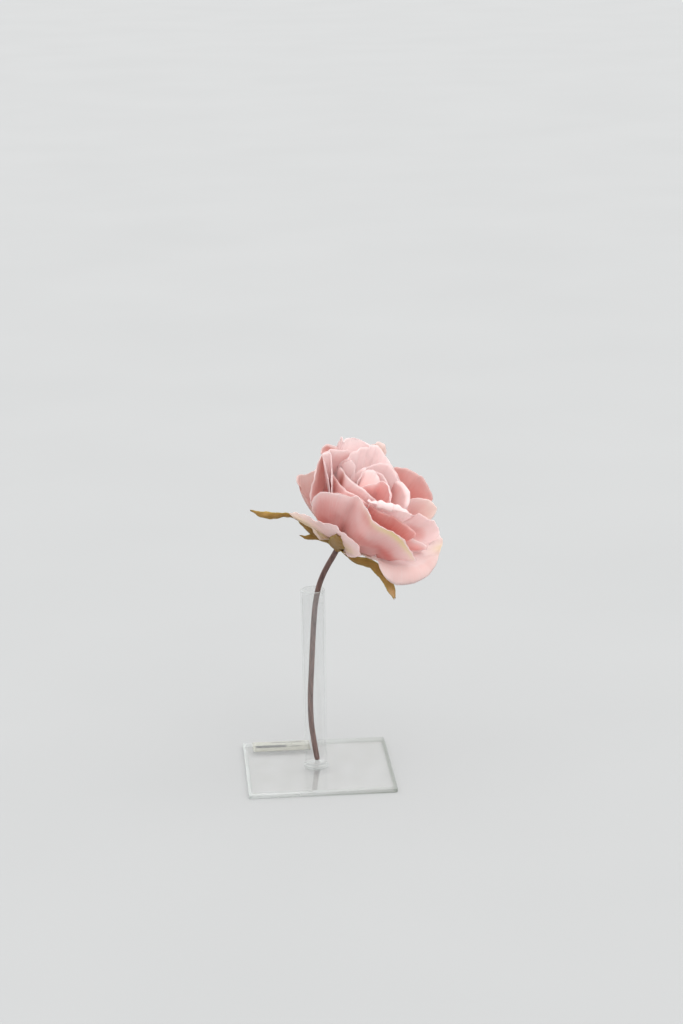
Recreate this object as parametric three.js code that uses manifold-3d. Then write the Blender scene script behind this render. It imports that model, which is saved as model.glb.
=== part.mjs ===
// A cloth rose leaning out of a slim clear tube, which stands on a square clear base.
// Millimetres, +Z up. The origin is the middle of the base plate's underside, +X is to the
// right of the front and -Y is the front.

import * as THREE from 'three';
import { mergeVertices } from 'three/addons/utils/BufferGeometryUtils.js';
import Module from 'manifold-3d';

const wasm = await Module();
wasm.setup();

// Driving dimensions of the holder
const REST_GAP = 0.3; // air left between pieces that touch on the real thing
const PLATE = { side: 120, thickness: 4 };
const LABEL = { x: -28, y: 46, length: 48, width: 22, thickness: 0.4 };
const TUBE = {
  x: -2, y: -2, height: 152, rimRadius: 10.1, waistRadius: 9.1, wall: 1.2, floor: 3,
  footRadius: 9.9, footHeight: 2, edgeRound: 0.6, innerRound: 2, segments: 40,
};

// Driving dimensions of the flower
const STEM = { radius: 2.25, sides: 12, steps: 44, straightTop: 7 };
const RECEPTACLE = new THREE.Vector3(17.5, -14, 192); // where the stem meets the flower
const FLOWER = { lean: 33.3, leanToward: -46, turn: -17.6 }; // degrees
const HIP = {
  height: 8, footRadius: 3, neckRadius: 3.6, neckHeight: 1.5, waistRadius: 6.2, waistHeight: 4,
  bellyRadius: 7.3, bellyHeight: 6.8, topRadius: 6.8, segments: 20,
};
const CORE = {
  bottom: HIP.height + REST_GAP, radius: 6.4, swellRadius: 10, swellHeight: 12, middleRadius: 8,
  height: 42, tipRadius: 3, segments: 14,
};
const PETAL = {
  thickness: 0.7, rootRadius: 4.5, rootHeight: 10, sideBowl: 0.6, bellyLow: 0.8,
  rollRadius: 3.5, rollDip: 0.6, rollSquare: 0.75,
};
const SEPAL = { thickness: 0.8, lengthSteps: 10, widthSteps: 1, hollow: 0.35, hollowShift: 0.4 };
const PETAL_GRID = { columns: 8, rows: 4, rollRows: 1 };
const WIDE_ROLL_GRID = { columns: 8, rows: 4, rollRows: 2 };
const BUD_GRID = { columns: 6, rows: 3, rollRows: 0 };

// The stem's middle line from the tube's floor up to the straight top
const STEM_LINE = [
  [-0.6, 2.6, 7.7], [-1.9, 2, 16], [-3.6, 1.2, 28], [-5.2, 0.3, 43], [-5.4, -0.7, 64], [-4.3, -1.4, 85],
  [-3.1, -1.8, 106], [-1.7, -2.1, 126], [-0.2, -2.6, 142], [2.5, -4, 157], [6.1, -5.9, 168], [10.2, -8, 177],
];

// Petals, from the outside in. A free edge is a list of points [azimuth, radius, height, roll] in
// the flower's own frame: azimuth in degrees from the front and growing to the right, radius
// from the axis, height above the receptacle, and roll, the width of the margin that turns
// outward past that point. facing is the azimuth that the petal looks to, spread the angle
// that its root takes on the core, bowl how early it spreads before it rises, belly how
// far its middle swells outward, and rollRadius how tightly its margin turns.
const GUARD_PETALS = [
  {
    facing: 72, spread: 110, bowl: 0.3, belly: 1, rollRadius: 11,
    edge: [[27, 13, 10, 1], [50, 19, 14, 1], [57, 28, 20, 2], [59, 37, 25, 6], [61, 42, 27, 11],
      [65, 48, 30, 15], [71, 58, 33, 16], [82, 66, 36, 12], [93, 70, 37, 7], [103, 73, 38, 3],
      [122, 73, 36, 1], [134, 58, 28, 1]],
  },
  {
    facing: -20, spread: 100, bowl: 0.2, belly: 1,
    edge: [[-68, 34, 14], [-66, 49, 20], [-62, 52, 28], [-33, 41, 41], [-10, 37, 44], [9, 42, 45],
      [21, 47, 41], [23, 46, 36], [24, 32, 24]],
  },
  {
    facing: -110, spread: 80, bowl: 0.5, belly: 4, rollRadius: 3,
    edge: [[-129, 54, 36, 1], [-116, 52, 38, 1], [-108, 55, 36, 2], [-104, 58, 34, 5], [-99, 54, 31, 5],
      [-99, 49, 27, 2], [-98, 42, 24, 1], [-96, 30, 18, 1]],
  },
  {
    facing: 152, spread: 80, bowl: 0.4, belly: 3, rollRadius: 8,
    edge: [[120, 40, 14, 1], [128, 60, 25, 4], [145, 66, 34, 8], [165, 64, 36, 8], [180, 56, 30, 5],
      [190, 38, 16, 1]],
  },
  {
    facing: 215, spread: 80, bowl: 0.4, belly: 3, rollRadius: 8,
    edge: [[182, 38, 16, 1], [190, 56, 30, 5], [206, 64, 38, 8], [226, 62, 38, 8], [240, 55, 28, 4],
      [248, 38, 16, 1]],
  },
];
const OUTER_PETALS = [
  {
    facing: 5, spread: 110, bowl: 0.35, belly: 6,
    edge: [[-64, 31, 28, 1], [-52, 43, 46, 1], [-48, 43, 61, 1], [-26, 30, 68, 1], [-13, 25, 71, 1],
      [9, 32, 68, 1], [24, 41, 66, 2], [44, 48, 62, 3], [58, 54, 56, 2], [65, 61, 49, 1],
      [69, 61, 42, 1], [75, 42, 30, 1]],
  },
  {
    facing: -100, spread: 80, bowl: 0.55, belly: 6,
    edge: [[-124, 40, 66, 1], [-99, 41, 82, 3], [-84, 46, 84, 2], [-78, 50, 82, 1], [-69, 50, 71, 1],
      [-63, 47, 56, 1], [-61, 42, 44, 1], [-60, 34, 32, 1]],
  },
  {
    facing: 215, spread: 80, bowl: 0.5, belly: 5,
    edge: [[181, 51, 52, 1], [191, 43, 70, 1], [206, 37, 82, 1], [234, 39, 86, 1], [253, 43, 88, 1],
      [259, 42, 84, 3], [260, 43, 77, 1], [262, 40, 58, 1]],
  },
  {
    facing: 188, spread: 70, bowl: 0.5, belly: 5, rollRadius: 3,
    edge: [[173, 58, 50, 1], [180, 50, 68, 1], [186, 50, 76, 3], [193, 48, 82, 3], [199, 44, 82, 2],
      [203, 45, 72, 1], [206, 48, 56, 1]],
  },
  {
    facing: 148, spread: 90, bowl: 0.5, belly: 4,
    edge: [[130, 62, 34], [133, 65, 48], [135, 66, 58], [145, 56, 70], [155, 48, 72], [167, 42, 70],
      [173, 42, 62], [176, 46, 46]],
  },
  {
    facing: 132, spread: 80, bowl: 0.5, belly: 3,
    edge: [[120, 60, 32], [123, 65, 46], [125, 66, 56], [128, 60, 60], [131, 52, 60], [137, 46, 54],
      [147, 45, 36]],
  },
  {
    facing: 118, spread: 80, bowl: 0.5, belly: 2,
    edge: [[106, 56, 24], [110, 68, 35], [113, 72, 44], [115, 66, 50], [118, 59, 55], [121, 49, 54],
      [126, 44, 44], [135, 42, 30]],
  },
  {
    facing: 95, spread: -24, bowl: 0.4, belly: 0,
    edge: [[104, 34, 44], [92, 42, 45], [88, 49, 46], [91, 56, 45], [96, 62, 40], [101, 60, 29]],
  },
  {
    facing: 194, spread: 80, bowl: 0.5, belly: 4,
    edge: [[160, 36, 34, 1], [168, 52, 50, 1], [182, 58, 60, 4], [198, 59, 62, 5], [212, 56, 56, 3],
      [220, 42, 36, 1]],
  },
  {
    facing: 240, spread: 80, bowl: 0.5, belly: 4,
    edge: [[210, 38, 28, 1], [218, 52, 42, 1], [232, 57, 50, 5], [246, 54, 50, 4], [256, 48, 40, 1],
      [260, 36, 26, 1]],
  },
];
const INNER_PETALS = [
  {
    facing: 35, spread: 70, bowl: 0.5, belly: 4,
    edge: [[-6, 14, 60], [12, 20, 66], [30, 27, 69], [51, 33, 69], [63, 40, 66], [74, 48, 61],
      [83, 48, 52], [99, 42, 36]],
  },
  {
    facing: -40, spread: 80, bowl: 0.5, belly: 4,
    edge: [[-109, 29, 40], [-84, 31, 58], [-76, 34, 68], [-52, 32, 71], [-28, 31, 72], [-8, 27, 72],
      [15, 24, 70], [40, 18, 60]],
  },
  {
    facing: -30, spread: 90, bowl: 0.4, belly: 4,
    edge: [[-96, 27, 50], [-90, 30, 62], [-81, 30, 74], [-53, 25, 76], [-26, 19, 76], [11, 19, 75],
      [44, 20, 70], [83, 20, 60]],
  },
  {
    facing: 20, spread: 70, bowl: 0.45, belly: 3, rollRadius: 3,
    edge: [[5, 13, 60, 1], [12, 20, 70, 3], [28, 20, 72, 6], [42, 23, 74, 9], [55, 28, 75, 9],
      [63, 35, 75, 6], [69, 39, 72, 2], [83, 38, 62, 1]],
  },
  {
    facing: -120, spread: 80, bowl: 0.5, belly: 5, rollRadius: 3,
    edge: [[-135, 31, 66, 1], [-117, 31, 80, 1], [-98, 36, 84, 1], [-85, 47, 82, 1], [-83, 45, 79, 3],
      [-80, 36, 70, 5], [-79, 32, 58, 4], [-78, 28, 44, 2]],
  },
  {
    facing: -92, spread: 50, bowl: 0.3, belly: 2,
    edge: [[-106, 22, 66], [-101, 27, 75], [-96, 27, 80], [-90, 23, 81], [-84, 19, 77], [-78, 18, 69]],
  },
  {
    facing: 195, spread: 110, bowl: 0.45, belly: 4,
    edge: [[150, 47, 50], [153, 38, 65], [167, 34, 73], [182, 34, 78], [199, 37, 83], [216, 31, 84],
      [238, 29, 83], [256, 29, 78], [260, 32, 68], [264, 32, 50]],
  },
  {
    facing: 170, spread: 100, bowl: 0.4, belly: 4,
    edge: [[138, 33, 54], [141, 30, 66], [156, 29, 73], [174, 28, 77], [192, 22, 77], [231, 18, 72],
      [238, 21, 60]],
  },
  {
    facing: 125, spread: 90, bowl: 0.45, belly: 4, rollRadius: 3,
    edge: [[102, 32, 44, 1], [104, 33, 56, 1], [107, 33, 64, 3], [117, 33, 69, 5], [131, 32, 72, 5],
      [143, 31, 72, 3], [154, 31, 66, 1], [162, 38, 52, 1]],
  },
];
const BUD_PETALS = [
  {
    facing: 200, spread: 120, bowl: 0.2, belly: 4,
    edge: [[94, 5, 72], [144, 4, 77], [206, 9, 79], [237, 12, 79], [269, 14, 78], [296, 19, 74],
      [304, 18, 62]],
  },
  {
    facing: 80, spread: 90, bowl: 0.2, belly: 4,
    edge: [[64, 18, 66], [66, 21, 72], [77, 18, 75], [87, 13, 76], [102, 9, 75], [172, 14, 68]],
  },
  {
    facing: 0, spread: 120, bowl: 0.2, belly: 5,
    edge: [[-67, 19, 70], [-32, 23, 77], [-12, 21, 78], [6, 17, 78], [60, 7, 76], [154, 13, 70]],
  },
  {
    facing: -10, spread: 150, bowl: 0.1, belly: 3,
    edge: [[-110, 9, 70], [-70, 9, 76], [-30, 8, 77], [10, 8, 76], [50, 8, 75], [80, 8, 68]],
  },
  {
    facing: 170, spread: 180, bowl: 0.1, belly: 3,
    edge: [[60, 6, 68], [100, 7, 75], [150, 7, 78], [200, 7, 77], [240, 7, 74], [280, 7, 66]],
  },
];

// Sepals. Each middle line is a list of points [azimuth, radius, height, half width] in the
// flower's frame, and facing is the azimuth that its outer side looks to.
const SEPALS = [
  {
    facing: -15,
    line: [[-52, 5, 5, 3.6], [-55, 17, 10, 4.4], [-59, 25, 15, 4.4], [-56, 36, 23, 3.6],
      [-61, 45, 24, 2.4], [-60, 56, 23, 2.6], [-61, 65, 21, 3.2], [-63, 73, 18, 2.6],
      [-67, 80, 15, 0.6]],
  },
  {
    facing: -15,
    line: [[-58, 5, 4, 2.6], [-65, 14, 5, 3], [-62, 22, 5.5, 3.2], [-60, 29, 5, 2.2], [-63, 34, 4, 0.6]],
  },
  {
    facing: -5,
    line: [[-6, 4, 3, 4.6], [-14, 8, 8, 6], [-8, 17, 17, 5.4], [-8, 25, 25.5, 4], [-8, 33, 36, 0.6]],
  },
  {
    facing: 35,
    line: [[22, 4, 5, 3.5], [37, 18, 8.5, 3.2], [46, 25, 10, 3.6], [59, 30, 11, 3.6], [67, 36, 11, 3],
      [71, 44, 9, 2.8], [73, 51, 6, 3.4], [74, 56, 2, 3], [73, 61, -1, 0.6]],
  },
  {
    facing: 185,
    line: [[185, 4, 4, 3.5], [185, 16, 6, 3.5], [186, 30, 8, 3.2], [188, 46, 10, 2.6],
      [190, 60, 8, 0.6]],
  },
];

const degrees = THREE.MathUtils.degToRad;

function flowerPoint([azimuth, radius, height]) {
  const angle = degrees(azimuth);
  return new THREE.Vector3(radius * Math.sin(angle), -radius * Math.cos(angle), height);
}

function flowerFrame() {
  const toward = degrees(FLOWER.leanToward);
  return new THREE.Matrix4()
    .makeRotationZ(toward)
    .multiply(new THREE.Matrix4().makeRotationY(degrees(FLOWER.lean)))
    .multiply(new THREE.Matrix4().makeRotationZ(degrees(FLOWER.turn) - toward))
    .setPosition(RECEPTACLE);
}

function flowerAxis() {
  return new THREE.Vector3(0, 0, 1).transformDirection(flowerFrame());
}

// A smooth line through points, each with one more value that follows it, as evenly spaced samples
function sampleLine(points, values, steps) {
  const curve = new THREE.CatmullRomCurve3(points, false, 'catmullrom', 0.5);
  const valueCurve = new THREE.CatmullRomCurve3(
    values.map((value) => new THREE.Vector3(value, 0, 0)), false, 'catmullrom', 0.5);
  const samples = [];
  for (let i = 0; i <= steps; i += 1) {
    const t = curve.getUtoTmapping(i / steps);
    samples.push({ point: curve.getPoint(t), value: Math.max(valueCurve.getPoint(t).x, 0) });
  }
  return samples;
}

function difference(line, index) {
  const before = line[Math.max(index - 1, 0)];
  const after = line[Math.min(index + 1, line.length - 1)];
  return after.clone().sub(before);
}

function columnOf(grid, j) {
  return grid.map((column) => column[j]);
}

// Unit normals of a grid of points, grid[i][j]
function gridNormals(grid) {
  return grid.map((column, i) => column.map((point, j) => {
    const across = difference(columnOf(grid, j), i);
    return across.cross(difference(column, j)).normalize();
  }));
}

function petalGrid(petal, size) {
  const rolls = petal.edge.map((point) => point[3] ?? 0);
  const samples = sampleLine(petal.edge.map(flowerPoint), rolls, size.columns);
  const outward = flowerPoint([petal.facing, 1, 0]);
  const roots = samples.map((sample, i) => flowerPoint(
    [petal.facing + petal.spread * (i / size.columns - 0.5), PETAL.rootRadius, PETAL.rootHeight]));
  const lengths = samples.map((sample, i) => sample.point.distanceTo(roots[i]));
  const longest = Math.max(...lengths);
  const grid = samples.map((sample, i) => {
    const side = 2 * i / size.columns - 1;
    const bowl = petal.bowl * (1 - PETAL.sideBowl * side * side);
    const belly = petal.belly * (lengths[i] / longest) * (1 - side * side);
    const column = [];
    for (let j = 0; j <= size.rows; j += 1) {
      const v = j / size.rows;
      const spreading = THREE.MathUtils.lerp(v, Math.sin(Math.PI / 2 * v), bowl);
      const rising = THREE.MathUtils.lerp(v, 1 - Math.cos(Math.PI / 2 * v), bowl);
      const reach = sample.point.clone().sub(roots[i]);
      const step = new THREE.Vector3(reach.x * spreading, reach.y * spreading, reach.z * rising);
      const swell = belly * Math.sin(Math.PI * v ** PETAL.bellyLow);
      column.push(roots[i].clone().add(step).addScaledVector(outward, swell));
    }
    return column;
  });
  const widths = samples.map((sample) => sample.value);
  rollMargin(grid, widths, petal.rollRadius ?? PETAL.rollRadius, outward, size.rollRows);
  return grid;
}

// The sheet goes on past the free edge and turns outward on an arc
function rollMargin(grid, widths, radius, outward, rows) {
  if (rows === 0 || Math.max(...widths) === 0) return;
  const edge = grid.map((column) => column[column.length - 1]);
  const downAndOut = outward.clone().add(new THREE.Vector3(0, 0, -PETAL.rollDip));
  const turns = grid.map((column, i) => {
    const up = difference(column, column.length - 1).normalize();
    const along = difference(edge, i).normalize();
    return { up, along, normal: up.clone().cross(along).normalize() };
  });
  const facingOut = turns.reduce((sum, turn) => sum + Math.sign(turn.normal.dot(downAndOut)), 0);
  turns.forEach((turn, i) => {
    turn.normal.multiplyScalar(Math.sign(facingOut) || 1);
    const square = turn.along.clone().cross(turn.normal).normalize();
    square.multiplyScalar(Math.sign(square.dot(turn.up)) || 1);
    const start = turn.up.clone().lerp(square, PETAL.rollSquare).normalize();
    for (let j = 1; j <= rows; j += 1) {
      const angle = (widths[i] / radius) * (j / rows);
      const offset = start.clone().multiplyScalar(radius * Math.sin(angle));
      offset.addScaledVector(turn.normal, radius * (1 - Math.cos(angle)));
      grid[i].push(edge[i].clone().add(offset));
    }
  });
}

function sepalGrid(sepal, extra) {
  const halfWidths = sepal.line.map((point) => point[3] + extra);
  const samples = sampleLine(sepal.line.map(flowerPoint), halfWidths, SEPAL.lengthSteps);
  const line = samples.map((sample) => sample.point);
  line[line.length - 1].addScaledVector(difference(line, line.length - 1).normalize(), extra);
  const outward = flowerPoint([sepal.facing, 1, 0]);
  const grid = [];
  for (let i = 0; i <= 2 * SEPAL.widthSteps; i += 1) {
    const side = i / SEPAL.widthSteps - 1;
    grid.push(samples.map(({ point, value }, j) => {
      const along = difference(line, j).normalize();
      const across = along.clone().cross(outward).normalize();
      const normal = across.clone().cross(along).normalize();
      const sag = SEPAL.hollow * value * (side * side - SEPAL.hollowShift);
      return point.clone().addScaledVector(across, side * value).addScaledVector(normal, -sag);
    }));
  }
  return grid;
}

// A blade of even thickness round a grid of points, split alike on both faces
function bladeGeometry(grid, thickness) {
  const normals = gridNormals(grid);
  const columns = grid.length;
  const rows = grid[0].length;
  const positions = [];
  [thickness / 2, -thickness / 2].forEach((offset) => {
    grid.forEach((column, i) => column.forEach((point, j) => {
      positions.push(...point.clone().addScaledVector(normals[i][j], offset).toArray());
    }));
  });
  const front = (i, j) => i * rows + j;
  const back = (i, j) => columns * rows + front(i, j);
  const triangles = [];
  for (let i = 0; i + 1 < columns; i += 1) {
    for (let j = 0; j + 1 < rows; j += 1) {
      triangles.push(front(i, j), front(i + 1, j), front(i + 1, j + 1));
      triangles.push(front(i, j), front(i + 1, j + 1), front(i, j + 1));
      triangles.push(back(i, j), back(i + 1, j + 1), back(i + 1, j));
      triangles.push(back(i, j), back(i, j + 1), back(i + 1, j + 1));
    }
  }
  const rim = [];
  for (let i = 0; i + 1 < columns; i += 1) rim.push([i, 0]);
  for (let j = 0; j + 1 < rows; j += 1) rim.push([columns - 1, j]);
  for (let i = columns - 1; i > 0; i -= 1) rim.push([i, rows - 1]);
  for (let j = rows - 1; j > 0; j -= 1) rim.push([0, j]);
  rim.forEach(([i, j], k) => {
    const [nextI, nextJ] = rim[(k + 1) % rim.length];
    triangles.push(front(i, j), back(i, j), back(nextI, nextJ));
    triangles.push(front(i, j), back(nextI, nextJ), front(nextI, nextJ));
  });
  const geometry = new THREE.BufferGeometry();
  geometry.setAttribute('position', new THREE.Float32BufferAttribute(positions, 3));
  geometry.setIndex(triangles);
  return geometry;
}

// A solid turned round the Z axis from a profile of [radius, height] points
function turnedGeometry(profile, segments) {
  const points = profile.map(([radius, height]) => new THREE.Vector2(radius, height));
  return new THREE.LatheGeometry(points, segments).rotateX(Math.PI / 2);
}

function toSolid(geometry) {
  const bare = geometry.clone();
  bare.deleteAttribute('normal');
  bare.deleteAttribute('uv');
  const merged = mergeVertices(bare, 1e-4);
  return new wasm.Manifold(new wasm.Mesh({
    numProp: 3,
    vertProperties: Float32Array.from(merged.attributes.position.array),
    triVerts: Uint32Array.from(merged.index.array),
  }));
}

function toGeometry(solid) {
  const mesh = solid.getMesh();
  const geometry = new THREE.BufferGeometry();
  geometry.setAttribute('position', new THREE.BufferAttribute(Float32Array.from(mesh.vertProperties), 3));
  geometry.setIndex(new THREE.BufferAttribute(Uint32Array.from(mesh.triVerts), 1));
  geometry.computeVertexNormals();
  return geometry;
}

function joined(solids) {
  return solids.reduce((sum, solid) => sum.add(solid));
}

// The outer body alone: sealed hollows are filled and loose scraps dropped
function outerBody(solid) {
  const bodies = solid.decompose();
  return bodies.reduce((largest, body) => (body.volume() > largest.volume() ? body : largest));
}

function hipSolid(extra) {
  return toSolid(turnedGeometry([
    [0, -extra], [HIP.footRadius + extra, -extra], [HIP.neckRadius + extra, HIP.neckHeight],
    [HIP.waistRadius + extra, HIP.waistHeight], [HIP.bellyRadius + extra, HIP.bellyHeight],
    [HIP.topRadius + extra, HIP.height + extra], [0, HIP.height + extra],
  ], HIP.segments));
}

// The cup with its sepals, grown by extra on every side
function calyxSolid(extra) {
  const thickness = SEPAL.thickness + 2 * extra;
  const sepals = SEPALS.map((sepal) => toSolid(bladeGeometry(sepalGrid(sepal, extra), thickness)));
  return outerBody(joined([hipSolid(extra), ...sepals]));
}

function coreSolid() {
  const top = CORE.bottom + CORE.height;
  return toSolid(turnedGeometry([
    [0, CORE.bottom], [CORE.radius, CORE.bottom], [CORE.swellRadius, CORE.bottom + CORE.swellHeight],
    [CORE.middleRadius, CORE.bottom + CORE.height / 2], [CORE.tipRadius, top], [0, top + CORE.tipRadius],
  ], CORE.segments));
}

function bloomSolid() {
  const grids = [
    ...GUARD_PETALS.map((petal) => petalGrid(petal, WIDE_ROLL_GRID)),
    ...OUTER_PETALS.map((petal) => petalGrid(petal, PETAL_GRID)),
    ...INNER_PETALS.map((petal) => petalGrid(petal, PETAL_GRID)),
    ...BUD_PETALS.map((petal) => petalGrid(petal, BUD_GRID)),
  ];
  const blades = grids.map((grid) => toSolid(bladeGeometry(grid, PETAL.thickness)));
  return outerBody(joined([coreSolid(), ...blades]).subtract(calyxSolid(REST_GAP)));
}

function stemGeometry() {
  const axis = flowerAxis();
  const top = RECEPTACLE.clone().addScaledVector(axis, -REST_GAP);
  const points = STEM_LINE.map((point) => new THREE.Vector3(...point));
  points.push(top.clone().addScaledVector(axis, -STEM.straightTop), top);
  const section = new THREE.Shape().absarc(0, 0, STEM.radius, 0, 2 * Math.PI);
  return new THREE.ExtrudeGeometry(section, {
    curveSegments: STEM.sides, steps: STEM.steps, bevelEnabled: false,
    extrudePath: new THREE.CatmullRomCurve3(points, false, 'catmullrom', 0.5),
  });
}

function tubeGeometry() {
  const { height, rimRadius, waistRadius, wall, floor, edgeRound, innerRound } = TUBE;
  const { footRadius, footHeight } = TUBE;
  const half = wall / 2;
  const innerFoot = waistRadius - wall;
  return turnedGeometry([
    [0, 0], [footRadius - edgeRound, 0], [footRadius, edgeRound], [footRadius, footHeight - edgeRound],
    [waistRadius, footHeight + edgeRound], [rimRadius, height - half],
    [rimRadius - half / 2, height - half / 4], [rimRadius - half, height],
    [rimRadius - 1.5 * half, height - half / 4], [rimRadius - wall, height - half],
    [innerFoot, floor + innerRound], [innerFoot - innerRound / 3, floor + innerRound / 3],
    [innerFoot - innerRound, floor], [0, floor],
  ], TUBE.segments);
}

function piece(name, geometry, settings) {
  const mesh = new THREE.Mesh(geometry, new THREE.MeshStandardMaterial({ metalness: 0, ...settings }));
  mesh.name = name;
  return mesh;
}

const clear = { color: '#e4ece8', roughness: 0.04, transparent: true, opacity: 0.3 };

const basePlate = piece('base_plate', new THREE.BoxGeometry(PLATE.side, PLATE.side, PLATE.thickness), clear);
basePlate.position.z = PLATE.thickness / 2;

const label = piece('label', new THREE.BoxGeometry(LABEL.length, LABEL.width, LABEL.thickness),
  { color: '#e6e6e0', roughness: 0.7 });
label.position.set(LABEL.x, LABEL.y, PLATE.thickness + LABEL.thickness / 2);

const tube = piece('tube', tubeGeometry(), clear);
tube.position.set(TUBE.x, TUBE.y, PLATE.thickness);

const stem = piece('stem', stemGeometry(), { color: '#6a5049', roughness: 0.55 });

const flower = new THREE.Group();
flower.applyMatrix4(flowerFrame());
flower.add(piece('calyx', toGeometry(calyxSolid(0)), { color: '#7f6124', roughness: 0.8 }));
flower.add(piece('bloom', toGeometry(bloomSolid()), { color: '#e8aaa2', roughness: 0.85 }));

const rose = new THREE.Group();
rose.add(basePlate, label, tube, stem, flower);

export default rose;
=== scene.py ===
# %% [markdown]
# # A cloth rose in a clear tube stand
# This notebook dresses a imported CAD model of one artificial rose. The real one is cut and
# moulded from thin dyed cloth, wired to a coated stem, and stands in a clear tube on a clear
# plate. Each step below says what a piece is made of, how it could be modelled, and why it is
# modelled the way it is. Lengths are in millimetres until a mesh is made, and then in metres.

import bpy
import numpy as np
from mathutils import Matrix


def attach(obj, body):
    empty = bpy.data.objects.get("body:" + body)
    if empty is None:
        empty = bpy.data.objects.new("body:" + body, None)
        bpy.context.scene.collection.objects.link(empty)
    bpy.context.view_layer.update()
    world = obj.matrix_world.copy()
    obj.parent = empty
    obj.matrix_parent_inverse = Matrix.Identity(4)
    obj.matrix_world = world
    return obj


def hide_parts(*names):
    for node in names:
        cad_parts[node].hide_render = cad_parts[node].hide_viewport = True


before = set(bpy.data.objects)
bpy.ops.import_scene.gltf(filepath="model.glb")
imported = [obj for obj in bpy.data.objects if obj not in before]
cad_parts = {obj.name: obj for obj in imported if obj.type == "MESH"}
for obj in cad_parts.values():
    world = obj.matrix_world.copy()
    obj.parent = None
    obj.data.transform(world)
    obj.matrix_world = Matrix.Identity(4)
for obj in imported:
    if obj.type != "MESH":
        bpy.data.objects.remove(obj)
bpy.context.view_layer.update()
MM = 0.001
scene = bpy.context.scene
print("CAD nodes:", ", ".join(sorted(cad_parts)))

# %% [markdown]
# ## Camera
# The photograph was taken from a little above, with a long lens. Its place was worked out from
# the four corners of the plate and the tube's rim, so the same corners fall on the same pixels.
# A camera looks along its own -Z, so its matrix has the right, up and backward directions as
# columns. Yaw turns it about the upright axis, pitch tips it down and roll turns it about its
# view. It could be aimed by hand with a picture behind it, but numbers can be repeated.

# %% Camera
CAMERA_PLACE = np.array([-125.7, -1938.1, 752.4])
CAMERA_YAW, CAMERA_PITCH, CAMERA_ROLL = np.radians([-4.379, 15.34, -0.976])
CAMERA_LENS = 88.16
CAMERA_FAR = 60.0  # metres, well past the floor's edge


def camera_axes(yaw, pitch, roll):
    """Right, up and backward: the view is turned by yaw, tipped by pitch, then rolled about itself."""
    forward = np.array([-np.sin(yaw) * np.cos(pitch), np.cos(yaw) * np.cos(pitch), -np.sin(pitch)])
    right = np.array([np.cos(yaw), np.sin(yaw), 0.0])
    up = np.cross(right, forward)
    rolled_right = np.cos(roll) * right + np.sin(roll) * up
    rolled_up = np.cos(roll) * up - np.sin(roll) * right
    return rolled_right, rolled_up, -forward


camera_data = bpy.data.cameras.new("camera")
camera_data.lens = CAMERA_LENS
camera_data.clip_end = CAMERA_FAR
camera = bpy.data.objects.new("camera", camera_data)
scene.collection.objects.link(camera)
camera_matrix = np.eye(4)
camera_matrix[:3, :3] = np.stack(camera_axes(CAMERA_YAW, CAMERA_PITCH, CAMERA_ROLL), axis=1)
camera_matrix[:3, 3] = CAMERA_PLACE * MM
camera.matrix_world = Matrix(camera_matrix.tolist())
scene.camera = camera
print("camera", np.round(CAMERA_PLACE * MM, 3), "m, lens", CAMERA_LENS, "mm")

# %% [markdown]
# ## Tools for surfaces
# Every petal, sepal and tube here is a surface: a grid of points worked out with numpy as whole
# arrays. A grid could also be pushed about by hand or by modifiers, but a formula keeps the
# shape readable and lets one function make all the petals. A few small helpers are enough: a
# smooth line through chosen points, a seeded soft wobble, and a grid turned into a mesh.

# %% Smooth lines
TINY = 1e-9  # keeps a vector of no length from being divided by zero
CURVE_STEPS = 24  # straight pieces between two chosen points, before the line is spaced evenly


def unit(vectors):
    """Each vector divided by its own length."""
    return vectors / np.maximum(np.linalg.norm(vectors, axis=-1, keepdims=True), TINY)


def line_length(points):
    """The sum of the distances from each point to the next."""
    return np.linalg.norm(np.diff(points, axis=0), axis=1).sum()


def smooth_line(points, count):
    """Catmull-Rom curve through the rows of points, read at count places evenly spaced by length.
    Only the first three columns are a place. The others are values that follow the line."""
    points = np.asarray(points, float)
    ends = np.vstack([2 * points[0] - points[1], points, 2 * points[-1] - points[-2]])
    before, here, after, beyond = (ends[k:len(ends) - 3 + k, None] for k in range(4))
    t = np.linspace(0, 1, CURVE_STEPS + 1)[None, :-1, None]
    curve = here + 0.5 * t * (after - before + t * (
        2 * before - 5 * here + 4 * after - beyond + t * (3 * (here - after) + beyond - before)))
    curve = np.vstack([curve.reshape(-1, points.shape[1]), points[-1:]])
    steps = np.linalg.norm(np.diff(curve[:, :3], axis=0), axis=1)
    length = np.concatenate([[0], np.cumsum(steps)])
    wanted = np.linspace(0, length[-1], count)
    return np.stack([np.interp(wanted, length, column) for column in curve.T], axis=1)


arch = smooth_line([[0, 0, 0], [10, 10, 0], [20, 0, 0]], 50)
print("a smooth arch over 20 mm, 10 mm high, is", round(line_length(arch), 1), "mm long")

# %% Soft wobbles
DETUNE = 0.15  # how far a wave's length may be from the one that is asked for, as a share


def wobble(x, wavelengths, rng):
    """A smooth random line in x, about -1 to 1: sines of the given wavelengths, each detuned a little
    and started at a seeded phase."""
    waves = []
    for wavelength in wavelengths:
        turns = x / wavelength * (1 + DETUNE * rng.uniform(-1, 1))
        waves.append(np.sin(2 * np.pi * (turns + rng.uniform())))
    return sum(waves) / len(waves) ** 0.5


def smoothstep(x, start, end):
    """0 before start, 1 after end, and an S curve in between."""
    t = np.clip((x - start) / (end - start), 0, 1)
    return t * t * (3 - 2 * t)


print("a quarter of the way, the S curve is at", round(float(smoothstep(0.25, 0, 1)), 3))

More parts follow.
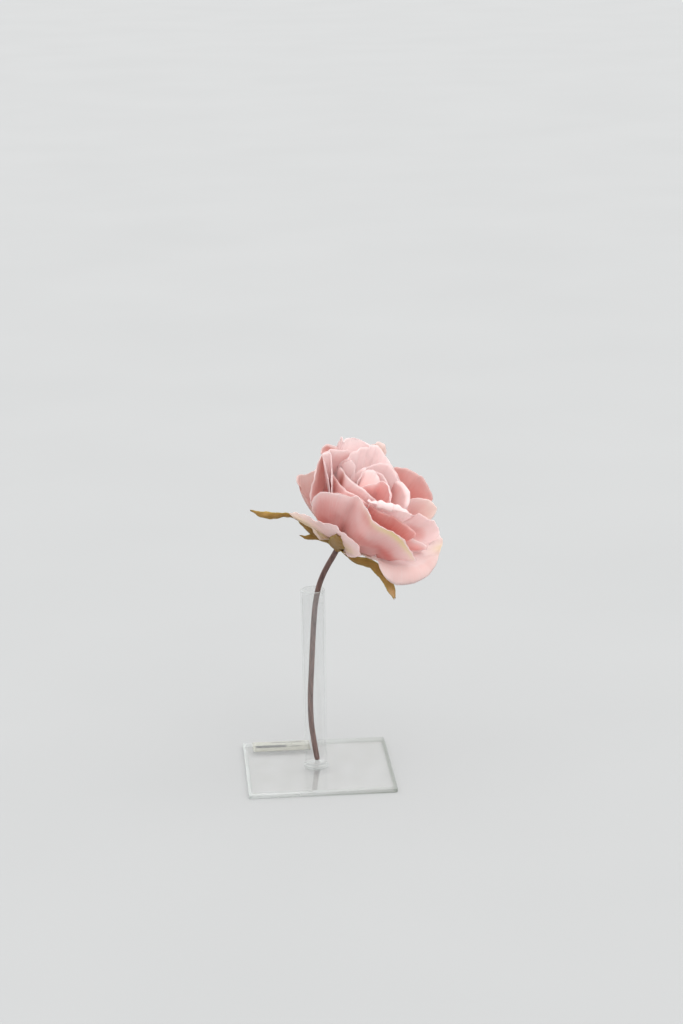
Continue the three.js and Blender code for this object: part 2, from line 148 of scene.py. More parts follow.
# %% From a grid of points to a mesh
def grid_mesh(name, grid, around=False, caps=False, values=None, uv=None):
    """A mesh from points[i, j] in millimetres: four neighbours make a face. With around, the last
    row of i joins the first, so a turned shape has a closed seam. With caps, a fan of triangles
    to the middle of the first and last ring of j closes both ends. values are named numbers per
    point and uv is a pair of numbers per point, both in the grid's own order."""
    rows, columns = grid.shape[:2]
    index = np.arange(rows * columns).reshape(rows, columns)
    if around:
        index = np.vstack([index, index[:1]])
    corners = [index[:-1, :-1], index[1:, :-1], index[1:, 1:], index[:-1, 1:]]
    faces = np.stack(corners, -1).reshape(-1, 4).tolist()
    points = grid.reshape(-1, 3)
    if caps:
        low, high = np.full(rows, len(points)), np.full(rows, len(points) + 1)
        points = np.vstack([points, grid[:, 0].mean(0), grid[:, -1].mean(0)])
        faces += np.stack([low, index[1:, 0], index[:-1, 0]], -1).tolist()
        faces += np.stack([high, index[:-1, -1], index[1:, -1]], -1).tolist()
    mesh = bpy.data.meshes.new(name)
    mesh.from_pydata((points * MM).tolist(), [], faces)
    mesh.polygons.foreach_set("use_smooth", np.ones(len(faces), bool))
    for key, numbers in (values or {}).items():
        if caps:
            numbers = np.append(numbers, [numbers[:, 0].mean(), numbers[:, -1].mean()])
        attribute = mesh.attributes.new(key, "FLOAT", "POINT")
        attribute.data.foreach_set("value", numbers.ravel().astype(np.float32))
    if uv is not None:
        corner = np.empty(len(mesh.loops), np.int32)
        mesh.loops.foreach_get("vertex_index", corner)
        layer = mesh.uv_layers.new(name="cloth")
        layer.data.foreach_set("uv", uv.reshape(-1, 2)[corner].ravel().astype(np.float32))
    return mesh


print("an open grid of 3 by 4 points has", (3 - 1) * (4 - 1), "faces")

# %% Turned shapes
TURNED_SIDES = 96


def turned(name, profile, place=(0, 0, 0), around=TURNED_SIDES, values=None):
    """A closed shape turned round an upright axis from [radius, height] points, low end first.
    values are named numbers along the profile."""
    angle = np.linspace(0, 2 * np.pi, around, endpoint=False)[:, None]
    radius, height = np.asarray(profile, float).T
    rings = np.broadcast_arrays(radius * np.cos(angle), radius * np.sin(angle), height)
    spread = {key: np.broadcast_to(numbers, rings[0].shape) for key, numbers in (values or {}).items()}
    return grid_mesh(name, np.stack(rings, -1) + place, around=True, caps=True, values=spread)


def rounded(corners, steps=6):
    """Points [x, y, cut]: each corner becomes a quadratic curve that starts and ends cut away."""
    corners = np.asarray(corners, float)
    t = np.linspace(0, 1, steps)[:, None]
    line = [corners[:1, :2]]
    for before, corner, after in zip(corners[:-2], corners[1:-1], corners[2:]):
        start = corner[:2] + corner[2] * unit(before[:2] - corner[:2])
        end = corner[:2] + corner[2] * unit(after[:2] - corner[:2])
        line.append((1 - t) ** 2 * start + 2 * t * (1 - t) * corner[:2] + t ** 2 * end)
    return np.vstack(line + [corners[-1:, :2]])


print("one rounded corner takes", len(rounded([[0, 0, 0], [10, 0, 2], [10, 10, 0]])), "points")

# %% [markdown]
# ### Pieces in the scene
# A mesh shows only once an object holds it. Each object also rides on a body and has its finish,
# and the CAD node that it stands for is hidden. A sheet gets its wall from a modifier and not
# from a second grid, because a modifier keeps both faces at the same distance everywhere.

# %% Pieces in the scene
def show(mesh, material, node):
    """Puts a mesh in the scene with its finish. It rides on the one body and stands for a CAD node."""
    mesh.materials.append(material)
    piece = bpy.data.objects.new(mesh.name, mesh)
    scene.collection.objects.link(piece)
    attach(piece, "root")
    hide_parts(node)
    return piece


def thicken(piece, millimetres):
    """Gives a sheet its thickness, half to each side, so that it stays where its CAD blade is."""
    wall = piece.modifiers.new("thickness", "SOLIDIFY")
    wall.thickness = millimetres * MM
    wall.offset = 0.0
    return piece


print("all pieces ride on the one body of", len(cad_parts), "CAD nodes")

# %% [markdown]
# ## Tools for materials
# Colours are written as the hex values that a colour picker shows. Blender's shaders work on
# linear light, so one function converts them. A second one adds a node and links its inputs.

# %% Colours and nodes
def linear(colour):
    """sRGB hex to linear RGBA: the low end is divided by 12.92, the rest follows a 2.4 power."""
    srgb = np.array([int(colour[k:k + 2], 16) for k in (1, 3, 5)]) / 255
    light = np.where(srgb <= 0.04045, srgb / 12.92, ((srgb + 0.055) / 1.055) ** 2.4)
    return (*light.tolist(), 1.0)


def add(tree, kind, settings=None, **inputs):
    """A node of that kind. settings are its properties, inputs are sockets by name or number, each
    a value or another node's socket."""
    node = tree.nodes.new("ShaderNode" + kind)
    for key, value in (settings or {}).items():
        setattr(node, key, value)
    for key, value in inputs.items():
        numbered = key[0] == "_" and key[1:].isdigit()
        socket = node.inputs[int(key[1:]) if numbered else key.replace("_", " ")]
        if isinstance(value, bpy.types.NodeSocket):
            tree.links.new(value, socket)
        else:
            socket.default_value = value
    return node


def new_material(name):
    """An empty material, its node tree and its output node."""
    material = bpy.data.materials.new(name)
    material.use_nodes = True
    material.node_tree.nodes.clear()
    return material, material.node_tree, material.node_tree.nodes.new("ShaderNodeOutputMaterial")


def ramp(tree, factor, stops):
    """A colour ramp from a list of (place, hex colour)."""
    node = add(tree, "ValToRGB", Fac=factor)
    elements = node.color_ramp.elements
    while len(elements) < len(stops):
        elements.new(0.5)
    for element, (place, colour) in zip(elements, stops):
        element.position = place
        element.color = linear(colour)
    return node.outputs["Color"]


print("the grey #808080 is", round(linear("#808080")[0], 3), "of white in linear light")

# %% [markdown]
# ## The flower's own frame
# The flower leans to the right and towards the front. It is easier to describe upright: height
# runs along its axis from the receptacle, where the stem ends, and a point is given by azimuth,
# radius and height. Azimuth 0 faces the viewer and 90 is to the right. One matrix then leans
# everything at once, with the same numbers as the CAD model.

# %% Flower frame
RECEPTACLE = np.array([17.5, -14.0, 192.0])
FLOWER_LEAN, LEAN_TOWARD, FLOWER_TURN = np.radians([33.3, -46.0, -17.6])


def turn_z(angle):
    """Turns about the Z axis by the angle."""
    return np.array([[np.cos(angle), -np.sin(angle), 0], [np.sin(angle), np.cos(angle), 0], [0, 0, 1]])


def turn_y(angle):
    """Turns about the Y axis by the angle."""
    return np.array([[np.cos(angle), 0, np.sin(angle)], [0, 1, 0], [-np.sin(angle), 0, np.cos(angle)]])


FLOWER_FRAME = turn_z(LEAN_TOWARD) @ turn_y(FLOWER_LEAN) @ turn_z(FLOWER_TURN - LEAN_TOWARD)
FLOWER_AXIS = FLOWER_FRAME[:, 2]


def flower_points(polar):
    """Rows of azimuth, radius, height and more become rows of x, y, height and more."""
    polar = np.asarray(polar, float)
    angle = np.radians(polar[..., 0])
    place = np.stack([polar[..., 1] * np.sin(angle), -polar[..., 1] * np.cos(angle), polar[..., 2]], -1)
    return np.concatenate([place, polar[..., 3:]], -1)


def lean(points):
    """From the flower's own frame to the object's."""
    return points @ FLOWER_FRAME.T + RECEPTACLE


print("flower axis", np.round(FLOWER_AXIS, 3))

# %% [markdown]
# ## One petal
# A real cloth petal is stamped flat, pressed hot into a bowl over a ball tool, and glued at its
# foot. Its free edge is what the eye reads, so a petal here starts from that edge: a smooth line
# through a few points measured on the flower. Each place on the edge is joined by a curved
# column to a short arc at the foot. A bowl makes the column spread first and rise later, a belly
# swells its middle outward, and past the edge the sheet can go on and roll outward on an arc.
# A cloth simulation would give softer folds, but the petals would no longer lie where the
# photograph shows them.

# %% Petal surface
PETAL_COLUMNS, PETAL_ROWS, ROLL_ROWS = 81, 43, 9
FOOT_RADIUS, FOOT_HEIGHT = 4.5, 10.0
SIDE_BOWL = 0.6  # how much less bowl the sides have than the middle, as a share
BELLY_CREST = 0.8  # 1 has the belly's crest half way up, and less has it lower


def petal_columns(edge, facing, spread, bowl, belly, crest):
    """Columns from the foot arc to the edge. Across, a point goes out as a mix of a straight line
    and a quarter sine, and up as the same mix with a quarter cosine. The belly adds a half sine of
    the way up to the power crest, so a high crest swells the petal near its top, like a hood."""
    t = np.linspace(-1, 1, PETAL_COLUMNS)
    angle = facing + spread * t / 2
    foot = flower_points(np.stack([angle, np.full_like(t, FOOT_RADIUS), np.full_like(t, FOOT_HEIGHT)], -1))
    outward = flower_points([facing, 1.0, 0.0])
    v = np.linspace(0, 1, PETAL_ROWS)[None, :, None]
    share = bowl * (1 - SIDE_BOWL * t[:, None, None] ** 2)
    across = (1 - share) * v + share * np.sin(np.pi / 2 * v)
    rise = (1 - share) * v + share * (1 - np.cos(np.pi / 2 * v))
    reach = (edge - foot)[:, None]
    columns = foot[:, None] + reach * np.concatenate([across, across, rise], -1)
    length = np.linalg.norm(edge - foot, axis=1)
    swell = belly * (length / length.max() * (1 - t ** 2))[:, None, None]
    return columns + swell * np.sin(np.pi * v ** crest) * outward, outward


print("a petal has", (PETAL_COLUMNS - 1) * (PETAL_ROWS + ROLL_ROWS - 1) * 4, "triangles or fewer")

# %% Rolled margin
ROLL_RADIUS = 3.5
ROLL_DIP = 0.6  # a margin rolls to the side that looks outward and this much down
ROLL_SQUARE = 0.75  # 1 leaves square to the edge, 0 goes on along the columns


def rolled_margin(columns, widths, radius, outward):
    """The sheet past its free edge: it leaves square to the edge and turns outward on an arc."""
    rim = columns[:, -1]
    up = unit(rim - columns[:, -2])
    along = unit(np.gradient(rim, axis=0))
    normal = unit(np.cross(up, along))
    normal *= np.sign((normal @ (outward - [0, 0, ROLL_DIP])).sum())
    square = unit(np.cross(along, normal))
    square *= np.sign((square * up).sum(1, keepdims=True))
    start = unit((1 - ROLL_SQUARE) * up + ROLL_SQUARE * square)
    angle = (widths / radius)[:, None] * np.linspace(0, 1, ROLL_ROWS + 1)[1:]
    out = np.sin(angle)[..., None] * start[:, None] + (1 - np.cos(angle))[..., None] * normal[:, None]
    return rim[:, None] + radius * out


print("a margin half a turn wide takes", round(np.pi * ROLL_RADIUS, 1), "mm of cloth")

# %% Places on a petal
def surface_normals(grid, outward):
    """Across times up at every point, turned to the outer side of the petal."""
    normal = unit(np.cross(np.gradient(grid, axis=0), np.gradient(grid, axis=1)))
    return normal * (np.sign((normal @ outward).mean()) or 1.0)


def margin_distance(grid):
    """How far each point is, along the grid, from the nearest cut edge: the top or either side."""
    up = np.linalg.norm(np.diff(grid, axis=1), axis=2)
    to_top = np.concatenate([np.cumsum(up[:, ::-1], axis=1)[:, ::-1], np.zeros((len(grid), 1))], 1)
    across = np.linalg.norm(np.diff(grid, axis=0), axis=2)
    run = np.concatenate([np.zeros((1, grid.shape[1])), np.cumsum(across, axis=0)])
    return np.minimum(to_top, np.minimum(run, run[-1] - run))


def petal_places(grid, highest):
    """Each point's place across, from 0 to 1, and its place up: 0 at the foot, 1 at the free edge,
    and more on the rolled part, cut off at the highest."""
    across = np.linspace(0, 1, PETAL_COLUMNS)[:, None]
    up = np.clip(np.arange(grid.shape[1]) / (PETAL_ROWS - 1), 0, highest)[None]
    return across, up


last_place = (PETAL_ROWS + ROLL_ROWS - 1) / (PETAL_ROWS - 1)
print("the last row of a rolled petal lies at", round(last_place, 2))

# %% [markdown]
# ### Folds and frayed edges
# The hot press leaves soft dents, the fingers that open the flower leave folds, and a cut edge
# waves and frays a little. A sculpted mesh could have them too, but they are only small shifts of
# the grid along its normal, or along its columns at the very edge. Each fades away from the
# margin that causes it.

# %% Petal folds and frayed edges
ROLL_START = 0.3  # the least that a margin rolls, where any of it does
HIGHEST_FOLD = 1.2
RUFFLE_REACH, RUFFLE_WAVES, RUFFLE_SLANT = 7.0, (24, 13, 8), 4.0
DENT_WAVES_ACROSS, DENT_WAVES_UP, DENT_RISE, DENT_FADE = (38, 22), (40, 24), 0.6, (0.1, 0.7)
PLEAT_SLANT = 1.5
FRAY, FRAY_REACH, FRAY_WAVES = 0.15, 2.5, (13, 7, 4)


def petal_grid(seed, edge, facing, spread=80, bowl=0.5, belly=4, crest=BELLY_CREST, roll=ROLL_RADIUS,
               ruffle=0.5, dents=0.5, folds=(), pleats=(0.0, 1, 0.0)):
    """A whole petal as a grid. ruffle waves the margin and dents bend the middle, in millimetres.
    Each fold is (place across, width, depth, start up) and is a bell curve across that grows
    upward. pleats are (depth, count, start up), a cosine across. The cut edge frays in and out."""
    rng = np.random.default_rng(seed)
    rows = [(*point, 0.0)[:4] for point in edge]
    line = smooth_line(flower_points(rows), PETAL_COLUMNS)
    grid, outward = petal_columns(line[:, :3], facing, spread, bowl, belly, crest)
    widths = np.clip(line[:, 3], 0.0, None)
    if widths.max() > 0:
        grid = np.concatenate([grid, rolled_margin(grid, widths + ROLL_START, roll, outward)], 1)
    margin = margin_distance(grid)
    across, up = petal_places(grid, HIGHEST_FOLD)
    length = line_length(line[:, :3])
    along = across * length
    shift = ruffle * np.exp(-margin / RUFFLE_REACH) * wobble(along + RUFFLE_SLANT * up, RUFFLE_WAVES, rng)
    dented = smoothstep(up, *DENT_FADE) * wobble(along, DENT_WAVES_ACROSS, rng)
    shift += dents * dented * wobble(up * length * DENT_RISE, DENT_WAVES_UP, rng)
    for place, width, depth, start in folds:
        shift += depth * np.exp(-((across - place) / width) ** 2) * smoothstep(up, start, 1.0)
    depth, count, start = pleats
    waves = np.cos(2 * np.pi * count * across + PLEAT_SLANT * up) * np.sin(np.pi * across)
    shift += depth * waves * smoothstep(up, start, 1.0)
    grid = grid + shift[..., None] * surface_normals(grid, outward)
    cut = FRAY * wobble(along, FRAY_WAVES, rng) * np.exp(-margin / FRAY_REACH)
    return grid + cut[..., None] * unit(np.gradient(grid, axis=1))


flat_petal = petal_grid(1, [[-40, 20, 40], [0, 25, 60], [40, 20, 40]], 0)
print("a plain petal reaches", round(flat_petal[..., 2].max()), "mm above the receptacle")

# %% [markdown]
# ## The petals' measurements
# The flower has five low guard petals, ten outer ones, ten inner ones, of which one is a narrow
# fold, and a rolled bud of four. Each free edge is a list of points: azimuth in degrees from the
# front, radius from the axis, height above the receptacle, and how wide the margin rolls outward
# there. The petals at the back are not seen in the photograph, so they follow the ones beside
# them. A colour is three or four numbers: how pale the foot is, how much paler the petal gets
# towards its edge, how much paler the margin is, and how much painted shade darkens the whole
# petal where it lies on the side away from the light. Tints are spots of undyed cream cloth: place
# across, place up, their half sizes, and strength. The spots of dye and shade are partly real
# deeper dye, and partly painted shade in hollows and gaps that lie in shade, where both the dye
# and the shade are darkened: the same four numbers, then how much dye and how much painted shade.

# %% Guard petals
GUARD_PETALS = {
    "petal_guard_right": dict(
        facing=72, spread=110, bowl=0.3, belly=1, roll=11, ruffle=1.1, colour=(0.95, 0.2, 0.05),
        pleats=(0.6, 6, 0.6),
        tints=[(0.69, 1.05, 0.05, 0.12, 0.6), (0.1, 0.6, 0.14, 0.4, 0.5)],
        dye_and_shade_spots=[(0.4, 1.1, 0.3, 0.08, 0.3, 0.1), (0.62, 1.05, 0.25, 0.25, 0.05, 0.22)],
        edge=[[27, 13, 10, 1], [51, 19, 14, 1], [58, 28, 21, 1], [57, 36, 24, 6], [60, 42, 26, 14],
              [65, 49, 29, 21], [71, 57, 33, 19], [81, 63, 35, 13], [92, 67, 36, 7], [103, 72, 37, 2],
              [112, 75, 37, 1], [122, 72, 35, 1], [134, 58, 28, 1]]),
    "petal_guard_left": dict(
        facing=-20, spread=100, bowl=0.2, belly=1, ruffle=0.9, colour=(0.75, 0.3, 0.05, 0.04),
        tints=[(0.15, 0.6, 0.2, 0.35, 0.8), (0.75, 0.4, 0.15, 0.3, 0.6)],
        edge=[[-43, 18, 12], [-48, 24, 13], [-54, 29, 17], [-58, 33, 22], [-60, 37, 24], [-61, 40, 24],
              [-64, 44, 24], [-64, 49, 22], [-62, 52, 28], [-33, 41, 41], [-10, 37, 44], [9, 42, 45],
              [21, 47, 41], [23, 46, 36], [27, 32, 22], [27, 24, 15], [26, 15, 10]]),
    "petal_guard_far_left": dict(
        facing=-110, roll=3, colour=(0.63, 0.35, 0.1, 0.28),
        dye_and_shade_spots=[(0.6, 1.0, 0.12, 0.15, 0.6, 0.1)],
        edge=[[-129, 54, 36, 1], [-116, 52, 38, 1], [-109, 53, 36, 1], [-105, 56, 34, 2], [-100, 53, 32, 3],
              [-99, 48, 27, 2], [-98, 42, 24, 1], [-96, 30, 18, 1]]),
    "petal_guard_back_right": dict(
        facing=152, bowl=0.4, belly=3, roll=8, colour=(0.7, 0.3, 0.1, 0.08),
        edge=[[120, 40, 14, 1], [128, 60, 25, 4], [145, 66, 34, 8], [165, 64, 36, 8], [180, 56, 30, 5],
              [190, 38, 16, 1]]),
    "petal_guard_back_left": dict(
        facing=215, bowl=0.4, belly=3, roll=8, colour=(0.7, 0.3, 0.1, 0.12),
        edge=[[182, 38, 16, 1], [190, 54, 29, 4], [206, 59, 35, 6], [226, 56, 34, 5], [240, 50, 26, 3],
              [248, 38, 16, 1]]),
}
print(len(GUARD_PETALS), "guard petals")

# %% Outer petals
OUTER_PETALS = {
    "petal_outer_front": dict(
        facing=5, spread=110, bowl=0.35, belly=6, colour=(0.42, 0.5, 0.1, 0.04),
        tints=[(0.68, 1.0, 0.14, 0.06, 1.0)],
        dye_and_shade_spots=[(0.73, 0.66, 0.19, 0.09, 0.3, 0.0), (0.2, 0.75, 0.2, 0.3, 0.2, 0.0),
                (0.5, 0.95, 0.07, 0.08, 0.3, 0.1)],
        folds=[(0.5, 0.03, -1.0, 0.7)],
        edge=[[-64, 31, 28, 1], [-52, 43, 46, 1], [-48, 43, 61, 1], [-26, 30, 68, 1], [-13, 25, 71, 1],
              [9, 32, 68, 1], [24, 41, 65, 2], [43, 46, 64, 3], [57, 51, 56, 3], [64, 59, 49, 1],
              [69, 60, 42, 1], [75, 42, 30, 1]]),
    "petal_outer_left": dict(
        facing=-100, bowl=0.55, belly=1, colour=(0.55, 0.35, 0.1),
        dye_and_shade_spots=[(0.4, 0.8, 0.25, 0.3, 0.1, 0.25), (0.37, 0.92, 0.1, 0.12, 0.3, 0.2)],
        edge=[[-123, 39, 64, 1], [-95, 40, 78, 1], [-82, 44, 82, 1], [-76, 47, 81, 1], [-68, 48, 70, 1],
              [-63, 46, 56, 1], [-61, 42, 44, 1], [-60, 34, 32, 1]]),
    "petal_outer_back_left": dict(
        facing=215, bowl=0.2, belly=3, colour=(0.75, 0.3, 0.05),
        dye_and_shade_spots=[(0.9, 1.0, 0.08, 0.12, 0.6, 0.3)],
        edge=[[181, 51, 52, 1], [191, 43, 70, 1], [207, 36, 80, 1], [231, 36, 86, 1], [250, 38, 88, 1],
              [254, 38, 86, 0], [254, 42, 89, 0], [256, 40, 80, 1], [254, 44, 75, 2], [254, 48, 73, 2],
              [256, 50, 70, 1], [257, 48, 66, 1]]),
    "petal_outer_back": dict(
        facing=188, spread=70, belly=5, roll=3, colour=(0.7, 0.3, 0.1, 0.12),
        tints=[(0.5, 0.95, 0.3, 0.2, 0.15)],
        edge=[[173, 58, 50, 1], [183, 49, 66, 1], [187, 48, 73, 3], [194, 45, 78, 3], [199, 41, 79, 2],
              [203, 45, 72, 1], [206, 48, 56, 1]]),
    "petal_outer_right_high": dict(
        facing=148, spread=90, ruffle=0.9, colour=(0.3, 0.25, 0.2, 0.16),
        pleats=(0.5, 6, 0.4),
        edge=[[130, 62, 34], [133, 65, 48], [135, 66, 58], [145, 56, 70], [155, 48, 72], [167, 42, 70],
              [173, 42, 62], [176, 46, 46]]),
    "petal_outer_right_middle": dict(
        facing=132, belly=3, ruffle=0.7, colour=(0.6, 0.35, 0.1),
        tints=[(0.3, 0.95, 0.3, 0.25, 0.15)],
        edge=[[120, 60, 32], [123, 65, 46], [125, 66, 56], [128, 60, 60], [131, 52, 60], [137, 46, 54],
              [147, 45, 36]]),
    "petal_outer_right_low": dict(
        facing=118, belly=2, ruffle=1.2, colour=(0.95, 0.3, 0.1), pleats=(1.0, 4, 0.3),
        dye_and_shade_spots=[(0.5, 0.72, 0.3, 0.12, 0.4, 0.0)],
        folds=[(0.35, 0.05, 1.5, 0.4), (0.55, 0.04, -1.2, 0.4)],
        edge=[[106, 56, 24], [110, 68, 35], [113, 71, 43], [114, 66, 49], [116, 59, 53], [119, 49, 52],
              [125, 44, 43], [135, 42, 30]]),
    "petal_outer_right_folded": dict(
        facing=95, spread=-24, bowl=0.4, belly=0, colour=(0.2, 0.5, 0.5),
        edge=[[104, 34, 44], [92, 42, 45], [88, 49, 46], [91, 56, 45], [96, 62, 40], [101, 60, 29]]),
    "petal_outer_back_inner": dict(
        facing=194, colour=(0.7, 0.3, 0.1, 0.04),
        edge=[[161, 35, 33, 1], [170, 51, 49, 1], [183, 57, 58, 4], [198, 58, 61, 5], [212, 56, 56, 3],
              [220, 42, 36, 1]]),
    "petal_outer_left_inner": dict(
        facing=240, belly=1, colour=(0.6, 0.3, 0.1, 0.12),
        edge=[[210, 38, 28, 1], [217, 49, 40, 1], [229, 51, 48, 1], [243, 46, 49, 1], [252, 40, 41, 1],
              [257, 32, 27, 1]]),
}
print(len(OUTER_PETALS), "outer petals")

# %% Inner petals
INNER_PETALS = {
    "petal_inner_front_low": dict(
        facing=35, spread=70, colour=(0.05, 0.4, 0.12),
        edge=[[-6, 14, 60], [12, 20, 66], [30, 27, 69], [51, 33, 69], [63, 40, 66], [74, 48, 61],
              [83, 48, 52], [99, 42, 36]]),
    "petal_inner_front_left": dict(
        facing=-40, colour=(0.2, 0.5, 0.1),
        dye_and_shade_spots=[(0.44, 0.86, 0.05, 0.12, 0.4, 0.5)],
        edge=[[-109, 29, 40], [-84, 31, 58], [-76, 34, 68], [-48, 27, 68], [-31, 26, 70], [-15, 23, 70],
              [5, 20, 67], [42, 15, 59]]),
    "petal_inner_front_high": dict(
        facing=-30, spread=90, bowl=0.4, colour=(0.36, 0.5, 0.15),
        dye_and_shade_spots=[(0.33, 0.88, 0.05, 0.12, 0.4, 0.5)],
        edge=[[-78, 27, 56], [-81, 28, 67], [-81, 30, 74], [-58, 24, 75], [-39, 18, 74], [-9, 15, 73],
              [32, 13, 68], [88, 15, 58]]),
    "petal_inner_front_rolled": dict(
        facing=20, spread=70, bowl=0.45, belly=3, ruffle=0.2, colour=(0.9, 0.2, 0.05),
        pleats=(0.45, 9, 0.5),
        edge=[[25, 15, 60, 0], [13, 21, 69, 4], [28, 20, 71, 10], [42, 24, 74, 12], [54, 27, 75, 11],
              [61, 33, 75, 8], [68, 37, 72, 4], [84, 37, 63, 1]]),
    "petal_inner_left": dict(
        facing=-120, belly=5, roll=3, colour=(0.5, 0.4, 0.15),
        dye_and_shade_spots=[(0.9, 0.85, 0.15, 0.3, 0.5, 0.6)],
        edge=[[-135, 31, 66, 1], [-115, 31, 79, 1], [-96, 35, 82, 1], [-85, 43, 82, 1], [-82, 40, 79, 1],
              [-80, 36, 70, 1], [-79, 31, 58, 1], [-80, 27, 45, 1]]),
    "petal_inner_left_fold": dict(
        facing=-30, spread=20, bowl=0.0, belly=1, ruffle=0.2, dents=0.2, colour=(0.9, 0.6, 0.1),
        edge=[[-48, 36, 62], [-58, 39, 70], [-68, 44, 78], [-74, 48, 82], [-76, 46, 84], [-78, 43, 85],
              [-69, 39, 80], [-57, 37, 71], [-47, 35, 62]]),
    "petal_inner_left_tip": dict(
        facing=-92, spread=50, bowl=-0.4, belly=0, colour=(1.0, 0.2, 0.05),
        edge=[[-102, 24, 64], [-95, 29, 71], [-92, 27, 78], [-91, 24, 82], [-85, 19, 78], [-80, 19, 70]]),
    "petal_inner_back": dict(
        facing=195, spread=110, bowl=-0.1, belly=0, colour=(0.95, 0.35, 0.05),
        pleats=(1.2, 11, 0.5),
        edge=[[150, 47, 50], [153, 38, 65], [167, 34, 73], [182, 34, 78], [199, 37, 83], [216, 31, 84],
              [238, 29, 83], [256, 29, 78], [260, 32, 68], [264, 32, 50]]),
    "petal_inner_right": dict(
        facing=170, spread=100, bowl=0.4, colour=(0.7, 0.4, 0.05),
        edge=[[138, 33, 54], [141, 30, 66], [156, 29, 73], [174, 28, 77], [192, 22, 77], [231, 18, 72],
              [238, 21, 60]]),
    "petal_inner_right_rolled": dict(
        facing=125, spread=90, bowl=0.45, roll=3, colour=(0.45, 0.4, 0.2),
        dye_and_shade_spots=[(0.8, 0.75, 0.2, 0.3, 0.35, 0.1)],
        edge=[[102, 32, 44, 1], [103, 32, 55, 1], [106, 31, 62, 3], [116, 30, 66, 5], [130, 29, 68, 5],
              [142, 28, 68, 3], [153, 30, 64, 1], [162, 38, 52, 1]]),
}
print(len(INNER_PETALS), "inner petals")

# %% Bud petals
BUD_PETALS = {
    "petal_bud_dome": dict(
        facing=0, spread=120, bowl=-0.6, belly=13, crest=3, dents=0.3, colour=(0.25, 0.55, 0.1),
        edge=[[-55, 8, 68], [-96, 10, 70], [240, 13, 72], [224, 14, 74], [208, 14, 75], [191, 12, 75],
              [165, 8, 74], [106, 6, 72]]),
    "petal_bud_right": dict(
        facing=60, spread=90, bowl=0.2, belly=3, roll=3, dents=0.3, colour=(0.2, 0.35, 0.4),
        edge=[[-23, 10, 61, 1], [-42, 10, 67, 1], [-39, 7, 71, 1], [12, 3, 74, 1], [91, 5, 77, 3],
              [87, 11, 76, 5], [77, 17, 73, 5], [68, 20, 69, 3]]),
    "petal_bud_left": dict(
        facing=-40, spread=60, bowl=0.1, belly=2, dents=0.2, colour=(0.75, 0.3, 0.05),
        edge=[[-74, 15, 64], [-83, 17, 67], [-93, 17, 71], [259, 15, 76], [250, 12, 79], [-87, 12, 76],
              [-69, 13, 72], [-54, 13, 68]]),
    "petal_bud_heart_back": dict(
        facing=175, spread=150, bowl=0.1, belly=3, dents=0.2, colour=(0.5, 0.4, 0.1),
        edge=[[100, 12, 60], [135, 15, 70], [175, 17, 73], [215, 16, 72], [250, 14, 62]]),
}
PETAL_LAYERS = (GUARD_PETALS, OUTER_PETALS, INNER_PETALS, BUD_PETALS)
print("petals in each layer, from the lowest:", *(len(layer) for layer in PETAL_LAYERS))

# %% [markdown]
# ## Petal cloth
# The petals are thin polyester cloth, woven plain and dyed after it was cut: the dye is strong at
# the foot and thins out to a pale margin. Cloth this thin glows where light comes from behind.
# So the finish mixes a rough, slightly sheeny surface with a translucent one. The dye's strength
# is an attribute worked out with each petal, because it follows the petal and not the room. The
# weave is too fine for this picture. It is drawn at about three times its real thread spacing.

# %% Petal cloth
THREAD_SPACING = 0.9
CLOTH_GLOW = 0.5
DYE_COLOURS = [(0.0, "#d6645d"), (0.25, "#ea988f"), (0.5, "#f3c0bb"), (0.75, "#f9dcd9"), (1.0, "#fceeed")]
# the second colour is the darker rose that the painted shade multiplies in
UNDYED_CREAM, PETAL_PAINTED_SHADE = "#f4ecc2", "#b48a70"
BLOTCH_SIZE, BLOTCH_DEPTH = 16.7, 0.3
STREAK_WIDTH, STREAK_DEPTH, STREAK_STRETCH = 1.11, 0.2, (1.0, 0.06, 1.0)


